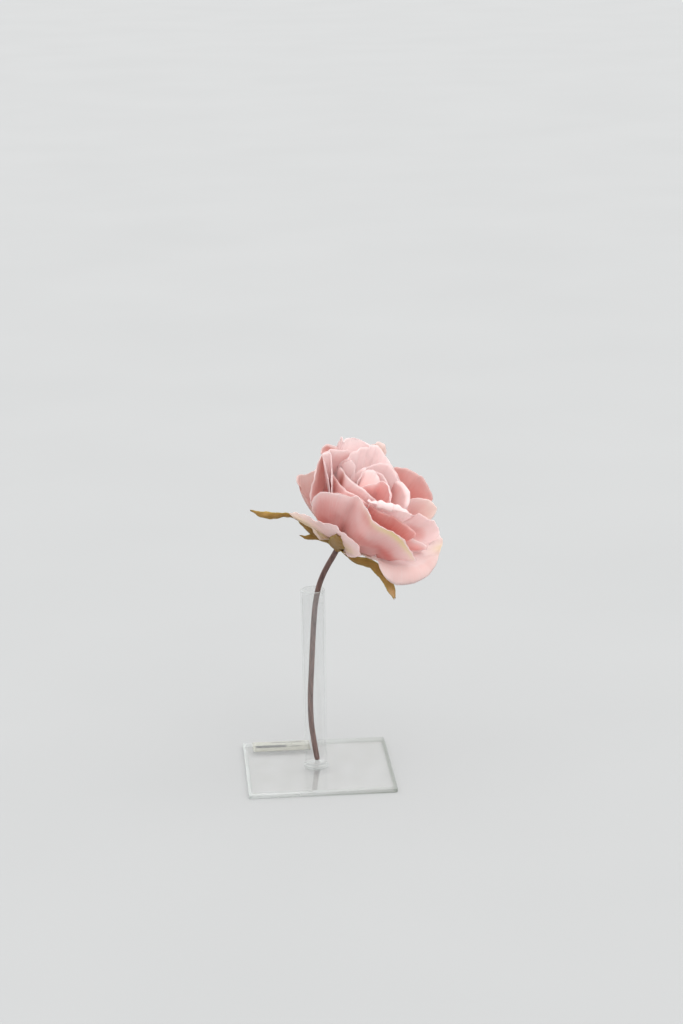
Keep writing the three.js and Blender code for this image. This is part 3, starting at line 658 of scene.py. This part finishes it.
def petal_cloth(name):
    """Dyed polyester cloth: a ramp of the dye, cream spots, a painted shade where a petal or a gap
    between petals lies in shade, faint streaks along the threads, and a woven bump."""
    material, tree, output = new_material(name)
    dye, cream, shade = (add(tree, "Attribute", {"attribute_name": key}).outputs["Fac"]
                         for key in ("dye", "cream", "shade"))
    uv = add(tree, "UVMap", {"uv_map": "cloth"}).outputs["UV"]
    blotches = add(tree, "TexNoise", Vector=uv, Scale=1 / BLOTCH_SIZE, Detail=3.0).outputs["Fac"]
    streak_map = add(tree, "Mapping", Vector=uv, Scale=STREAK_STRETCH).outputs["Vector"]
    streaks = add(tree, "TexNoise", Vector=streak_map, Scale=1 / STREAK_WIDTH, Detail=2.0).outputs["Fac"]
    strength = dye
    for noise, depth in ((blotches, BLOTCH_DEPTH), (streaks, STREAK_DEPTH)):
        uneven = add(tree, "Math", {"operation": "MULTIPLY_ADD"}, _0=noise, _1=depth, _2=-depth / 2)
        strength = add(tree, "Math", {"operation": "ADD"}, _0=strength, _1=uneven.outputs[0]).outputs[0]
    dyed = ramp(tree, strength, DYE_COLOURS)
    tinted = add(tree, "Mix", {"data_type": "RGBA"}, _0=cream, _6=dyed, _7=linear(UNDYED_CREAM)).outputs[2]
    # painted shade: the shade attribute multiplies the colour towards a darker rose
    shaded = add(tree, "Mix", {"data_type": "RGBA", "blend_type": "MULTIPLY"}, _0=shade, _6=tinted,
                 _7=linear(PETAL_PAINTED_SHADE))
    colour = shaded.outputs[2]
    threads = add(tree, "TexBrick", {"offset": 0.5}, Vector=uv, Scale=1 / THREAD_SPACING,
                  Mortar_Size=0.12, Mortar_Smooth=1.0, Brick_Width=1.0, Row_Height=0.5).outputs["Fac"]
    weave = add(tree, "Bump", Height=threads, Strength=0.1, Distance=0.04 * MM).outputs["Normal"]
    rib = add(tree, "Bump", Height=streaks, Strength=0.5, Distance=0.2 * MM, Normal=weave).outputs["Normal"]
    surface = add(tree, "BsdfPrincipled", Base_Color=colour, Roughness=0.8, Sheen_Weight=0.25,
                  Sheen_Roughness=0.5, Normal=rib).outputs["BSDF"]
    glow = add(tree, "BsdfTranslucent", Color=colour, Normal=rib).outputs["BSDF"]
    mixed = add(tree, "MixShader", _0=CLOTH_GLOW, _1=surface, _2=glow).outputs["Shader"]
    tree.links.new(mixed, output.inputs["Surface"])
    return material


PETAL_CLOTH = petal_cloth("dyed polyester petal cloth")
print("petal cloth:", len(PETAL_CLOTH.node_tree.nodes), "nodes")

# %% [markdown]
# ### From measurements to petals
# Each petal becomes a mesh of its own, so that one can be moved or dyed again alone. The dye is
# worked out at every point: it thins out towards the edge, again near the margin, and once more
# in the last millimetre, where the cut threads have lost it. The UV map is the petal laid flat, in
# millimetres, so the weave keeps its size on every petal.

# %% Make the petals
PETAL_THICKNESS = 0.35
HIGHEST_DYE, DYE_POWER = 1.1, 1.5
MARGIN_REACH = 4.0
HEM_PALENESS, HEM_REACH = 0.12, 0.8


def spot(across, up, place, height, wide, tall):
    """A bell curve both ways: 1 at its middle, and about a third at each half size from it."""
    return np.exp(-((across - place) / wide) ** 2 - ((up - height) / tall) ** 2)


def make_petal(name, seed, edge, facing, colour, tints=(), dye_and_shade_spots=(), **shape):
    """One petal: its grid, its dye, painted shade and cream spots, then its thickness. The dye is the
    foot's plus a power of the place up, plus two fades with the distance from the margin."""
    grid = petal_grid(seed, edge, facing, **shape)
    margin = margin_distance(grid)
    across, up = petal_places(grid, HIGHEST_DYE)
    # the fourth colour number is a painted shade over the whole petal
    foot, rise, pale, painted_shade_all_over = (*colour, 0.0)[:4]
    dye = foot + rise * up ** DYE_POWER + pale * np.exp(-margin / MARGIN_REACH)
    dye = dye + HEM_PALENESS * np.exp(-margin / HEM_REACH)
    cream, shade = np.zeros_like(dye), np.full_like(dye, painted_shade_all_over)
    for *where, strength in tints:
        cream += strength * spot(across, up, *where)
    # each spot deepens the dye, partly as real dye and partly as painted shade, and adds painted shade
    for *where, strength, dark in dye_and_shade_spots:
        dye_and_shade_spot = spot(across, up, *where)
        dye, shade = dye - strength * dye_and_shade_spot, shade + dark * dye_and_shade_spot
    wide, tall = line_length(grid[:, PETAL_ROWS - 1]), line_length(grid[PETAL_COLUMNS // 2])
    uv = np.stack(np.broadcast_arrays(across * wide, up * tall), -1)
    values = {"dye": dye, "cream": np.clip(cream, 0, 1), "shade": np.clip(shade, 0, 1)}
    mesh = grid_mesh(name, lean(grid), uv=uv, values=values)
    return thicken(show(mesh, PETAL_CLOTH, "bloom"), PETAL_THICKNESS)


petals = []
for layer in PETAL_LAYERS:
    for name, numbers in layer.items():
        petals.append(make_petal(name, len(petals) + 1, **numbers))
print(len(petals), "petals, the first of", len(petals[0].data.vertices), "points")

# %% [markdown]
# ## Sepals and their cup
# Under the flower narrow sepals spread from a small cup. They are stiff brushed cloth in a golden
# olive brown, cut with slightly torn ends. The four at the front and sides are measured, and the
# one at the back follows them. Each one is a strip along a curved middle line, hollow across and
# with a raised rib. The cup could be lathed too, but five soft lobes follow from one cosine, so
# the same ring formula gets a fifth harmonic.

# %% Sepal cloth
SEPAL_COLOURS = [(0.0, "#7a5820"), (0.35, "#8f6a2a"), (0.7, "#a27c40"), (1.0, "#caa272")]
SEPAL_EDGE_COLOUR = "#a8923c"
PATCH_SIZE, PATCH_DEPTH, PATCH_SHIFT = 6.25, 0.7, -0.38
NAP_FIBRE = 0.714  # real fibres are under 0.1 mm, too fine to show, so these are coarser


def sepal_cloth(name):
    """Brushed olive cloth: a brown to ochre ramp along the strip, darker cloudy patches, fine fibres."""
    material, tree, output = new_material(name)
    place = add(tree, "TexCoord").outputs["Object"]
    along, edge = (add(tree, "Attribute", {"attribute_name": key}).outputs["Fac"]
                   for key in ("along", "edge"))
    patches = add(tree, "TexNoise", Vector=place, Scale=1 / (PATCH_SIZE * MM), Detail=3.0).outputs["Fac"]
    shifted = add(tree, "Math", {"operation": "MULTIPLY_ADD"}, _0=patches, _1=PATCH_DEPTH, _2=PATCH_SHIFT)
    strength = add(tree, "Math", {"operation": "ADD"}, _0=along, _1=shifted.outputs[0]).outputs[0]
    cloth = ramp(tree, strength, SEPAL_COLOURS)
    edged = add(tree, "Mix", {"data_type": "RGBA"}, _0=edge, _6=cloth, _7=linear(SEPAL_EDGE_COLOUR))
    fibres = add(tree, "TexNoise", Vector=place, Scale=1 / (NAP_FIBRE * MM), Detail=2.0).outputs["Fac"]
    nap = add(tree, "Bump", Height=fibres, Strength=0.4, Distance=0.15 * MM).outputs["Normal"]
    surface = add(tree, "BsdfPrincipled", Base_Color=edged.outputs[2], Roughness=0.75, Sheen_Weight=0.1,
                  Sheen_Roughness=0.4, Normal=nap).outputs["BSDF"]
    tree.links.new(surface, output.inputs["Surface"])
    return material


SEPAL_CLOTH = sepal_cloth("brushed olive sepal cloth")
print("sepal cloth:", len(SEPAL_CLOTH.node_tree.nodes), "nodes")

# %% [markdown]
# ### The sepals' measurements
# Each middle line is a list of points: azimuth, radius and height as on a petal's edge, and then
# the half width there. facing is the side that the strip's face looks to, and pale is how much
# lighter its end is.

# %% Sepals
SEPALS = {
    "sepal_left_long": dict(facing=-15, pale=0.2, line=[
        [-60, 8, 7, 3.6], [-70, 16, 8, 4], [-69, 25, 10, 4.2], [-71, 35, 15, 4], [-70, 43, 19, 3],
        [-65, 53, 21, 2.5], [-61, 65, 21, 3.2], [-63, 73, 18, 2.6], [-67, 80, 15, 0.6]]),
    "sepal_left_short": dict(facing=-15, pale=0.1, line=[
        [-70, 8, 5, 1.5], [-75, 17, 4, 1.8], [-71, 22, 4, 2.4], [-68, 26, 4, 2.8], [-67, 30, 4, 1.4],
        [-67, 33, 4, 0.4]]),
    "sepal_front": dict(facing=-5, pale=0.0, line=[
        [-6, 4, 3, 5.6], [-14, 8, 8, 7.8], [-8, 17, 17, 7.4], [-8, 25, 25.5, 5.4], [-8, 33, 36, 1.6]]),
    "sepal_right": dict(facing=35, pale=0.55, line=[
        [22, 4, 5, 3.5], [36, 16, 9, 3.2], [47, 23, 11, 4.2], [59, 29, 13, 4.4], [67, 35, 13, 3.8],
        [71, 44, 9, 2.8], [73, 51, 6, 3.4], [74, 56, 2, 3], [73, 61, -1, 0.6]]),
    "sepal_back": dict(facing=185, pale=0.2, line=[
        [185, 4, 4, 3.5], [185, 16, 6, 3.5], [186, 30, 8, 3.2], [188, 46, 10, 2.6], [190, 60, 8, 0.6]]),
}
widest = max(point[3] for sepal in SEPALS.values() for point in sepal["line"])
print("the widest sepal is", 2 * widest, "mm wide")

# %% Make the sepals
SEPAL_THICKNESS = 0.5
SEPAL_COLUMNS, SEPAL_ROWS = 17, 71
SEPAL_HOLLOW, HOLLOW_SHIFT, RIB_HEIGHT, RIB_WIDTH = 0.35, 0.4, 0.35, 0.14
JAG_DEPTH, JAG_WAVES, JAG_OFFSET = 0.03, (6, 3.2, 1.9), 9.0
CURL_DEPTH, CURL_WAVES, CURL_SLANT, CURL_FADE = 0.5, (16, 9), 3.0, (0.15, 0.5)
TOOTH_LENGTH, TOOTH_WAVES, TOOTH_SPREAD, TOOTH_START = 1.2, (2.1, 1.2), 3.0, 0.93
SEPAL_FOOT_DYE, SEPAL_RISE, SEPAL_RISE_POWER, END_POWER = 0.1, 0.35, 0.7, 3
SEPAL_EDGE, SEPAL_EDGE_START = 0.6, 0.6
FIRST_SEPAL_SEED = 40


def make_sepal(name, facing, line, pale, seed):
    """A strip across its middle line: half width times side, sunk by side squared, with a bell
    shaped rib in the middle, jagged edges, and an end that runs out in uneven teeth."""
    rng = np.random.default_rng(seed)
    middle = smooth_line(flower_points(line), SEPAL_ROWS)
    along = unit(np.gradient(middle[:, :3], axis=0))
    across = unit(np.cross(along, flower_points([facing, 1.0, 0.0])))
    normal = unit(np.cross(across, along))
    side = np.linspace(-1, 1, SEPAL_COLUMNS)[:, None]
    run = np.linspace(0, 1, SEPAL_ROWS)[None]
    distance = run * line_length(middle[:, :3])
    jagged = 1 + JAG_DEPTH * wobble(distance + JAG_OFFSET * np.sign(side), JAG_WAVES, rng)
    width = middle[None, :, 3] * jagged
    sag = SEPAL_HOLLOW * width * (side ** 2 - HOLLOW_SHIFT)
    rib = RIB_HEIGHT * np.exp(-(side / RIB_WIDTH) ** 2) * (1 - run)
    curled = wobble(distance + CURL_SLANT * side, CURL_WAVES, rng) * smoothstep(run, *CURL_FADE)
    lift = rib - sag + CURL_DEPTH * curled * side
    teeth = TOOTH_LENGTH * wobble(side * TOOTH_SPREAD, TOOTH_WAVES, rng) * smoothstep(run, TOOTH_START, 1.0)
    grid = (middle[None, :, :3] + (side * width)[..., None] * across + lift[..., None] * normal
            + teeth[..., None] * along)
    dye = SEPAL_FOOT_DYE + SEPAL_RISE * run ** SEPAL_RISE_POWER + pale * run ** END_POWER
    edge = SEPAL_EDGE * smoothstep(np.abs(side), SEPAL_EDGE_START, 1.0)
    values = dict(zip(("along", "edge"), np.broadcast_arrays(dye, edge)))
    mesh = grid_mesh(name, lean(grid), values=values)
    return thicken(show(mesh, SEPAL_CLOTH, "calyx"), SEPAL_THICKNESS)


sepals = [make_sepal(name, seed=FIRST_SEPAL_SEED + k, **numbers)
          for k, (name, numbers) in enumerate(SEPALS.items())]
print(len(sepals), "sepals")

# %% Cup under the flower
CUP_PROFILE = [
    [0.01, 0, 0], [3, 0, 0.3], [3.6, 1.5, 0.8], [6.2, 4, 1.2], [7.3, 6.8, 1], [6.8, 8, 0.4], [0.01, 8, 0],
]
CUP_SIDES = 80
LOBES, LOBE_DEPTH = 5, 0.35

cup_radius, cup_height = rounded(CUP_PROFILE).T
cup_angle = np.linspace(0, 2 * np.pi, CUP_SIDES, endpoint=False)[:, None]
lobed = cup_radius + LOBE_DEPTH * (cup_radius / cup_radius.max()) ** 2 * (np.cos(LOBES * cup_angle) - 1)
cup_grid = np.stack(np.broadcast_arrays(lobed * np.cos(cup_angle), lobed * np.sin(cup_angle), cup_height), -1)
cup = grid_mesh("calyx_cup", lean(cup_grid), around=True, caps=True)
show(cup, SEPAL_CLOTH, "calyx")
print("cup", round(2 * cup_radius.max(), 1), "mm wide")

# %% [markdown]
# ## Stem
# The stem is a wire in a brown plastic coat. It stands on the tube's floor, leans, and bends
# towards the flower. A curve object with a bevel would do as well. A swept ring keeps the cut end
# and lets the coat be a little uneven, as dipped plastic is.

# %% Stem coating
STEM_BROWNS = [(0.3, "#4d3430"), (0.5, "#644842"), (0.7, "#7a5b52")]
COAT_STREAK, COAT_RIPPLE = 1.43, 2.38
COAT_STRETCH = (1.0, 1.0, 0.15)


def stem_coating(name):
    """Satin brown plastic: three browns mixed by stretched noise, and a low uneven bump."""
    material, tree, output = new_material(name)
    place = add(tree, "TexCoord").outputs["Object"]
    stretched = add(tree, "Mapping", Vector=place, Scale=COAT_STRETCH).outputs["Vector"]
    streaks = add(tree, "TexNoise", Vector=stretched, Scale=1 / (COAT_STREAK * MM), Detail=3.0).outputs["Fac"]
    ripple = add(tree, "TexNoise", Vector=place, Scale=1 / (COAT_RIPPLE * MM), Detail=2.0).outputs["Fac"]
    bump = add(tree, "Bump", Height=ripple, Strength=0.5, Distance=0.3 * MM).outputs["Normal"]
    gloss = add(tree, "MapRange", Value=streaks, To_Min=0.35, To_Max=0.6).outputs["Result"]
    surface = add(tree, "BsdfPrincipled", Base_Color=ramp(tree, streaks, STEM_BROWNS), Roughness=gloss,
                  Normal=bump).outputs["BSDF"]
    tree.links.new(surface, output.inputs["Surface"])
    return material


STEM_COATING = stem_coating("satin brown stem coating")
print("stem coating:", len(STEM_COATING.node_tree.nodes), "nodes")

# %% Stem
STEM_RADIUS = 2.25
STEM_LINE = [
    [-0.6, 2.6, 7.7], [-1.9, 2, 16], [-3.6, 1.2, 28], [-5.2, 0.3, 43], [-5.4, -0.7, 64],
    [-4.3, -1.4, 85], [-3.1, -1.8, 106], [-1.7, -2.1, 126], [-0.2, -2.6, 142], [2.5, -4, 157],
    [6.1, -5.9, 168], [10.2, -8, 177],
]
SEAT_GAP, STRAIGHT_TOP = 0.3, 7.0
STEM_RINGS, STEM_SIDES = 240, 32
END_ROUND, END_RINGS = 0.35, 0.6

stem_top = RECEPTACLE - SEAT_GAP * FLOWER_AXIS
stem_line = smooth_line(STEM_LINE + [stem_top - STRAIGHT_TOP * FLOWER_AXIS, stem_top], STEM_RINGS)
stem_along = unit(np.gradient(stem_line, axis=0))
stem_side = unit(np.cross([0.0, 1.0, 0.0], stem_along))
stem_front = np.cross(stem_along, stem_side)
stem_angle = np.linspace(0, 2 * np.pi, STEM_SIDES, endpoint=False)[:, None, None]
ring = np.arange(STEM_RINGS)
nearest_end = np.minimum(ring, ring[::-1])[None, :, None]
stem_radius = STEM_RADIUS - END_ROUND * np.exp(-nearest_end / END_RINGS)
stem_grid = stem_line + stem_radius * (np.cos(stem_angle) * stem_side + np.sin(stem_angle) * stem_front)
stem = grid_mesh("stem_wire", stem_grid, around=True, caps=True)
show(stem, STEM_COATING, "stem")
print("stem", round(line_length(stem_line)), "mm long")

# %% [markdown]
# ## Clear tube and plate
# The holder is clear acrylic. Light passes it almost unchanged, so what the eye reads is its
# edges: the rim, the thick floor, and the sides where the view runs along the wall. Glass made
# with refraction alone would be right too, but it needs many more light paths and stays noisy.
# Here a transparent surface is mixed with a mirror, and with a haze where the real edge is
# bright. Wall and floor still need their real thickness, so the tube is one closed turned wall.

# %% Clear acrylic
ACRYLIC_IOR = 1.49
SMEAR_SIZE = 16.7
CUT_HAZE = 0.55
GRAZING_POWER = 4.0
# the second colour is the grey of a painted shade seen through the plate's far bevels
EDGE_LIGHT, EDGE_PAINTED_SHADE = "#d5dad8", "#dfe1dd"


def clear_acrylic(name, tint, haze, glow):
    """Clear plastic: what is behind shows through, and each outer face mirrors by Fresnel's share.
    haze is the share of light that scatters where the view runs along the wall, and glow is how
    much of that comes from light inside the sheet. The attribute cut adds haze on cut faces, and on
    the plate also a painted glow on the left bevel. The attribute dim is a painted shade: it darkens
    what is seen through the plate's right and back bevels."""
    material, tree, output = new_material(name)
    place = add(tree, "TexCoord").outputs["Object"]
    smears = add(tree, "TexNoise", Vector=place, Scale=1 / (SMEAR_SIZE * MM), Detail=4.0).outputs["Fac"]
    polish = add(tree, "MapRange", Value=smears, From_Min=0.35, From_Max=0.75, To_Min=0.02, To_Max=0.1)
    shade = ramp(tree, smears, [(0.2, tint), (0.8, "#ffffff")])
    inside = add(tree, "NewGeometry").outputs["Backfacing"]
    outside = add(tree, "Math", {"operation": "SUBTRACT"}, _0=1.0, _1=inside).outputs[0]
    mirrored = add(tree, "Fresnel", IOR=ACRYLIC_IOR).outputs["Fac"]
    amount = add(tree, "Math", {"operation": "MULTIPLY"}, _0=mirrored, _1=outside).outputs[0]
    # painted shade: dim turns what is seen through towards a darker grey
    dim = add(tree, "Attribute", {"attribute_name": "dim"}).outputs["Fac"]
    darker = add(tree, "Mix", {"data_type": "RGBA"}, _0=dim, _6=shade, _7=linear(EDGE_PAINTED_SHADE)).outputs[2]
    through = add(tree, "BsdfTransparent", Color=darker).outputs["BSDF"]
    gloss = add(tree, "BsdfAnisotropic", Color=shade, Roughness=polish.outputs["Result"]).outputs["BSDF"]
    clear = add(tree, "MixShader", _0=amount, _1=through, _2=gloss).outputs["Shader"]
    along = add(tree, "LayerWeight", Blend=0.5).outputs["Facing"]
    grazing = add(tree, "Math", {"operation": "POWER"}, _0=along, _1=GRAZING_POWER).outputs[0]
    cut = add(tree, "Attribute", {"attribute_name": "cut"}).outputs["Fac"]
    cut_haze = add(tree, "Math", {"operation": "MULTIPLY"}, _0=cut, _1=CUT_HAZE).outputs[0]
    hazy = add(tree, "Math", {"operation": "MULTIPLY_ADD", "use_clamp": True},
               _0=grazing, _1=haze, _2=cut_haze)
    face = add(tree, "BsdfDiffuse", Color=linear(EDGE_LIGHT)).outputs["BSDF"]
    lit = add(tree, "BsdfTranslucent", Color=linear(EDGE_LIGHT)).outputs["BSDF"]
    scattered = add(tree, "MixShader", _0=glow, _1=face, _2=lit).outputs["Shader"]
    mixed = add(tree, "MixShader", _0=hazy.outputs[0], _1=clear, _2=scattered).outputs["Shader"]
    tree.links.new(mixed, output.inputs["Surface"])
    return material


square_on = ((ACRYLIC_IOR - 1) / (ACRYLIC_IOR + 1)) ** 2
print("acrylic mirrors", round(square_on, 3), "of the light that meets it square on")

# %% Tube
TUBE_PLACE = (-2.0, -2.0, 4.0)
TUBE_PROFILE = [
    [0.01, 0, 0], [9.9, 0, 0.6], [9.9, 2, 0.6], [9.1, 2.6, 0.3], [10.1, 151.4, 0.2], [9.8, 152, 0.25],
    [9.2, 152, 0.25], [8.9, 151.4, 0.2], [7.9, 3, 2], [0.01, 3, 0],
]
FOOT_HAZE, FOOT_BAND = 0.6, (0.4, 1.6)
RIM_HAZE, RIM_BAND = 0.8, (151.0, 151.6)

tube_profile = rounded(TUBE_PROFILE)
tube_height = tube_profile[:, 1]
at_foot, at_rim = 1 - smoothstep(tube_height, *FOOT_BAND), smoothstep(tube_height, *RIM_BAND)
tube_cut = FOOT_HAZE * at_foot + RIM_HAZE * at_rim
tube = turned("clear_tube", tube_profile, TUBE_PLACE, values={"cut": tube_cut})
show(tube, clear_acrylic("clear acrylic tube", "#fefefe", 0.12, 0.3), "tube")
print("tube", round(2 * tube_profile[:, 0].max(), 1), "mm wide,", tube_height.max(), "mm high")

# %% [markdown]
# ### The plate
# The plate is cut from sheet and has a narrow bevel all round. Light that enters on the bright
# side is led through the sheet and comes out on the other, so the real left bevel glows, and the
# sides away from it look a little darker than the sheet. Here the glow is a painted glow, haze put
# on the left bevel, and the darker sides are a painted shade on what is seen through them. A box
# with a Bevel modifier would cut all its edges alike, so the plate is rings of a rounded square,
# one for each step of its edge.

# %% Plate
PLATE_SIDE, PLATE_THICKNESS, PLATE_CORNER, LEAST_CORNER = 120.0, 4.0, 2.0, 0.2
CORNER_POINTS = 7
PLATE_EDGE = [  # inset from the side, height, and how much of a cut face it is
    (3.6, 0, 0), (0.3, 0, 1), (0, 0.3, 1), (0, 2.9, 1), (0.3, 3.2, 1), (3.0, 4, 0.3), (3.4, 4, 0), (6, 4, 0),
]
SIDE_BAND = (0.93 * PLATE_SIDE / 2, 0.97 * PLATE_SIDE / 2)
# the second number is the strength of a painted glow on the left bevel
SIDE_HAZE, LEFT_PAINTED_GLOW = 0.1, 0.7


def rounded_square(half, corner):
    """Corner centres at half less corner, each with a quarter circle of points, going round once."""
    quarter = np.linspace(0, np.pi / 2, CORNER_POINTS)
    turn = (np.arange(4)[:, None] * np.pi / 2 + quarter).ravel()
    signs = np.repeat([[1, 1], [-1, 1], [-1, -1], [1, -1]], CORNER_POINTS, axis=0)
    return signs * (half - corner) + corner * np.stack([np.cos(turn), np.sin(turn)], -1)


plate_rings = []
for inset, height, cut in PLATE_EDGE:
    square = rounded_square(PLATE_SIDE / 2 - inset, max(PLATE_CORNER - inset, LEAST_CORNER))
    plate_rings.append(np.column_stack([square, np.full(len(square), height)]))
plate_grid = np.stack(plate_rings, 1)
edge_share = np.array(PLATE_EDGE)[:, 2]
at_left = smoothstep(-plate_grid[..., 0], *SIDE_BAND)
at_far_sides = smoothstep(plate_grid[..., :2].max(-1), *SIDE_BAND)
# cut: haze on every cut face, plus a painted glow on the left bevel; dim: painted shade on the right and back
# bevels
plate_values = {
    "cut": edge_share * (SIDE_HAZE + LEFT_PAINTED_GLOW * at_left),
    "dim": edge_share * at_far_sides * (1 - at_left),
}
plate = grid_mesh("clear_plate", plate_grid, around=True, caps=True, values=plate_values)
plate.polygons.foreach_set("use_smooth", np.zeros(len(plate.polygons), bool))
show(plate, clear_acrylic("clear acrylic plate", "#f9f9f8", 0.05, 0.2), "base_plate")
print("plate", PLATE_SIDE, "mm square")

# %% [markdown]
# ## Label
# The label is a strip of half clear film on the plate. It carries three plain ruled bars. They
# could be thin boxes laid on it, but ink has no thickness, so the finish draws them by comparing
# the place with their limits.

# %% Label finish
LABEL_PLACE, LABEL_SIZE = (-28.0, 46.0), (48.0, 22.0, 0.4)
LABEL_BARS = [(0.05, 0.59, 0.34, 0.6), (0.33, 0.87, 0.84, 0.9), (0.64, 0.86, 0.38, 0.45)]
LABEL_PALE, LABEL_INK = [(0.3, "#b8b8a8"), (0.7, "#c0c0b2")], "#2c2c2a"
INK_STRENGTH, FILM_COVER = 0.95, 0.33
FILM_FIBRE = 1.11


def bar(tree, place, low, high, lower, upper):
    """1 inside a rectangle and 0 outside: the product of four comparisons."""
    inside = 1.0
    for axis, start, end in (("X", low, high), ("Y", lower, upper)):
        for operation, limit in (("GREATER_THAN", start), ("LESS_THAN", end)):
            test = add(tree, "Math", {"operation": operation}, _0=place.outputs[axis], _1=limit).outputs[0]
            inside = add(tree, "Math", {"operation": "MULTIPLY"}, _0=inside, _1=test).outputs[0]
    return inside


def label_film(name, corner):
    """Thin pale film that lets most of the light through, with fibres in its colour and dark bars.
    A bar's limits are shares of the label's length and width."""
    material, tree, output = new_material(name)
    place = add(tree, "TexCoord").outputs["Object"]
    fibres = add(tree, "TexNoise", Vector=place, Scale=1 / (FILM_FIBRE * MM), Detail=4.0).outputs["Fac"]
    split = add(tree, "SeparateXYZ", Vector=place)
    ruled = 0.0
    for low, high, lower, upper in LABEL_BARS:
        limits = [(corner[0] + LABEL_SIZE[0] * x) * MM for x in (low, high)]
        limits += [(corner[1] + LABEL_SIZE[1] * y) * MM for y in (lower, upper)]
        ruled = add(tree, "Math", {"operation": "ADD"}, _0=ruled, _1=bar(tree, split, *limits)).outputs[0]
    inked = add(tree, "Math", {"operation": "MULTIPLY"}, _0=ruled, _1=INK_STRENGTH).outputs[0]
    colour = add(tree, "Mix", {"data_type": "RGBA"}, _0=inked, _6=ramp(tree, fibres, LABEL_PALE),
                 _7=linear(LABEL_INK)).outputs[2]
    surface = add(tree, "BsdfPrincipled", Base_Color=colour, Roughness=0.5).outputs["BSDF"]
    through = add(tree, "BsdfTransparent").outputs["BSDF"]
    mixed = add(tree, "MixShader", _0=FILM_COVER, _1=through, _2=surface).outputs["Shader"]
    tree.links.new(mixed, output.inputs["Surface"])
    return material


label_low = np.array([*LABEL_PLACE, PLATE_THICKNESS]) - [LABEL_SIZE[0] / 2, LABEL_SIZE[1] / 2, 0]
LABEL_FILM = label_film("half clear label film", label_low)
print("label film:", len(LABEL_FILM.node_tree.nodes), "nodes")

# %% Label
LABEL_EDGE = 0.1


def box_mesh(name, low, high):
    """The eight corners between the low and the high corner, and six faces that look outward."""
    corners = np.array(np.meshgrid(*zip(low, high), indexing="ij")).reshape(3, -1).T
    faces = [[0, 1, 3, 2], [4, 6, 7, 5], [0, 4, 5, 1], [2, 3, 7, 6], [0, 2, 6, 4], [1, 5, 7, 3]]
    mesh = bpy.data.meshes.new(name)
    mesh.from_pydata((corners * MM).tolist(), [], faces)
    return mesh


label_box = box_mesh("film_label", label_low, label_low + LABEL_SIZE)
label = show(label_box, LABEL_FILM, "label")
softened = label.modifiers.new("rounded edges", "BEVEL")
softened.width = LABEL_EDGE * MM
print("label", LABEL_SIZE, "mm")

# %% [markdown]
# ## Floor, light and view
# The photograph's ground is one pale sweep with no visible edge. A bent sheet would do that from
# one side, but the part is looked at from all sides, so a very wide disc stands in for it. One
# large soft light comes from the front right, high up, and the rest is an even bright room.

# %% Floor
FLOOR_RADIUS, FLOOR_DEPTH, FLOOR_MIDDLE, FLOOR_SIDES = 15000.0, 2.0, 10.0, 128
FLOOR_GAP = 0.25
FLOOR_GREYS, FLOOR_CLOUD = [(0.3, "#a3a4a4"), (0.7, "#a5a6a6")], 333.0
FLOOR_PROFILE = [
    [FLOOR_MIDDLE, -FLOOR_DEPTH], [FLOOR_RADIUS, -FLOOR_DEPTH], [FLOOR_RADIUS, 0.0], [FLOOR_MIDDLE, 0.0],
]


def floor_finish(name):
    """Matte pale board: a soft noise between two near greys."""
    material, tree, output = new_material(name)
    place = add(tree, "TexCoord").outputs["Object"]
    cloudy = add(tree, "TexNoise", Vector=place, Scale=1 / (FLOOR_CLOUD * MM), Detail=2.0).outputs["Fac"]
    colour = ramp(tree, cloudy, FLOOR_GREYS)
    surface = add(tree, "BsdfPrincipled", Base_Color=colour, Roughness=0.85).outputs["BSDF"]
    tree.links.new(surface, output.inputs["Surface"])
    return material


floor_mesh = turned("floor", FLOOR_PROFILE, (0, 0, -FLOOR_GAP), FLOOR_SIDES)
floor_mesh.polygons.foreach_set("use_smooth", np.zeros(len(floor_mesh.polygons), bool))
floor_mesh.materials.append(floor_finish("matte pale board"))
floor = bpy.data.objects.new("floor", floor_mesh)
scene.collection.objects.link(floor)
print("floor", 2 * FLOOR_RADIUS * MM, "m across")

# %% Light
KEY_STRENGTH, KEY_ELEVATION, KEY_AZIMUTH, KEY_SOFTNESS = 0.8, 55.0, -40.0, 60.0
ROOM_LIGHT, ROOM_STRENGTH = [(0.5, "#9e9e9e"), (0.62, "#bcbcbd"), (0.9, "#ffffff")], 1.9
CLEAR_BOUNCES, MIRROR_BOUNCES = 24, 12  # above the defaults, for light among petals and clear walls

world = bpy.data.worlds.new("even room")
world.use_nodes = True
direction = add(world.node_tree, "TexCoord").outputs["Generated"]
height = add(world.node_tree, "SeparateXYZ", Vector=direction).outputs["Z"]
level = add(world.node_tree, "MapRange", Value=height, From_Min=-1.0, From_Max=1.0).outputs["Result"]
room = ramp(world.node_tree, level, ROOM_LIGHT)
world.node_tree.links.new(room, world.node_tree.nodes["Background"].inputs["Color"])
world.node_tree.nodes["Background"].inputs["Strength"].default_value = ROOM_STRENGTH
scene.world = world

key_data = bpy.data.lights.new("key", "SUN")
key_data.energy = KEY_STRENGTH
key_data.angle = np.radians(KEY_SOFTNESS)
key = bpy.data.objects.new("key", key_data)
key.rotation_euler = (0, np.radians(90 - KEY_ELEVATION), np.radians(KEY_AZIMUTH))
scene.collection.objects.link(key)
scene.cycles.max_bounces = CLEAR_BOUNCES
scene.cycles.glossy_bounces = MIRROR_BOUNCES
scene.cycles.transmission_bounces = CLEAR_BOUNCES
scene.view_settings.view_transform = "Standard"
print("room from", ROOM_LIGHT[0][1], "to", ROOM_LIGHT[-1][1], "and a key of", KEY_STRENGTH)
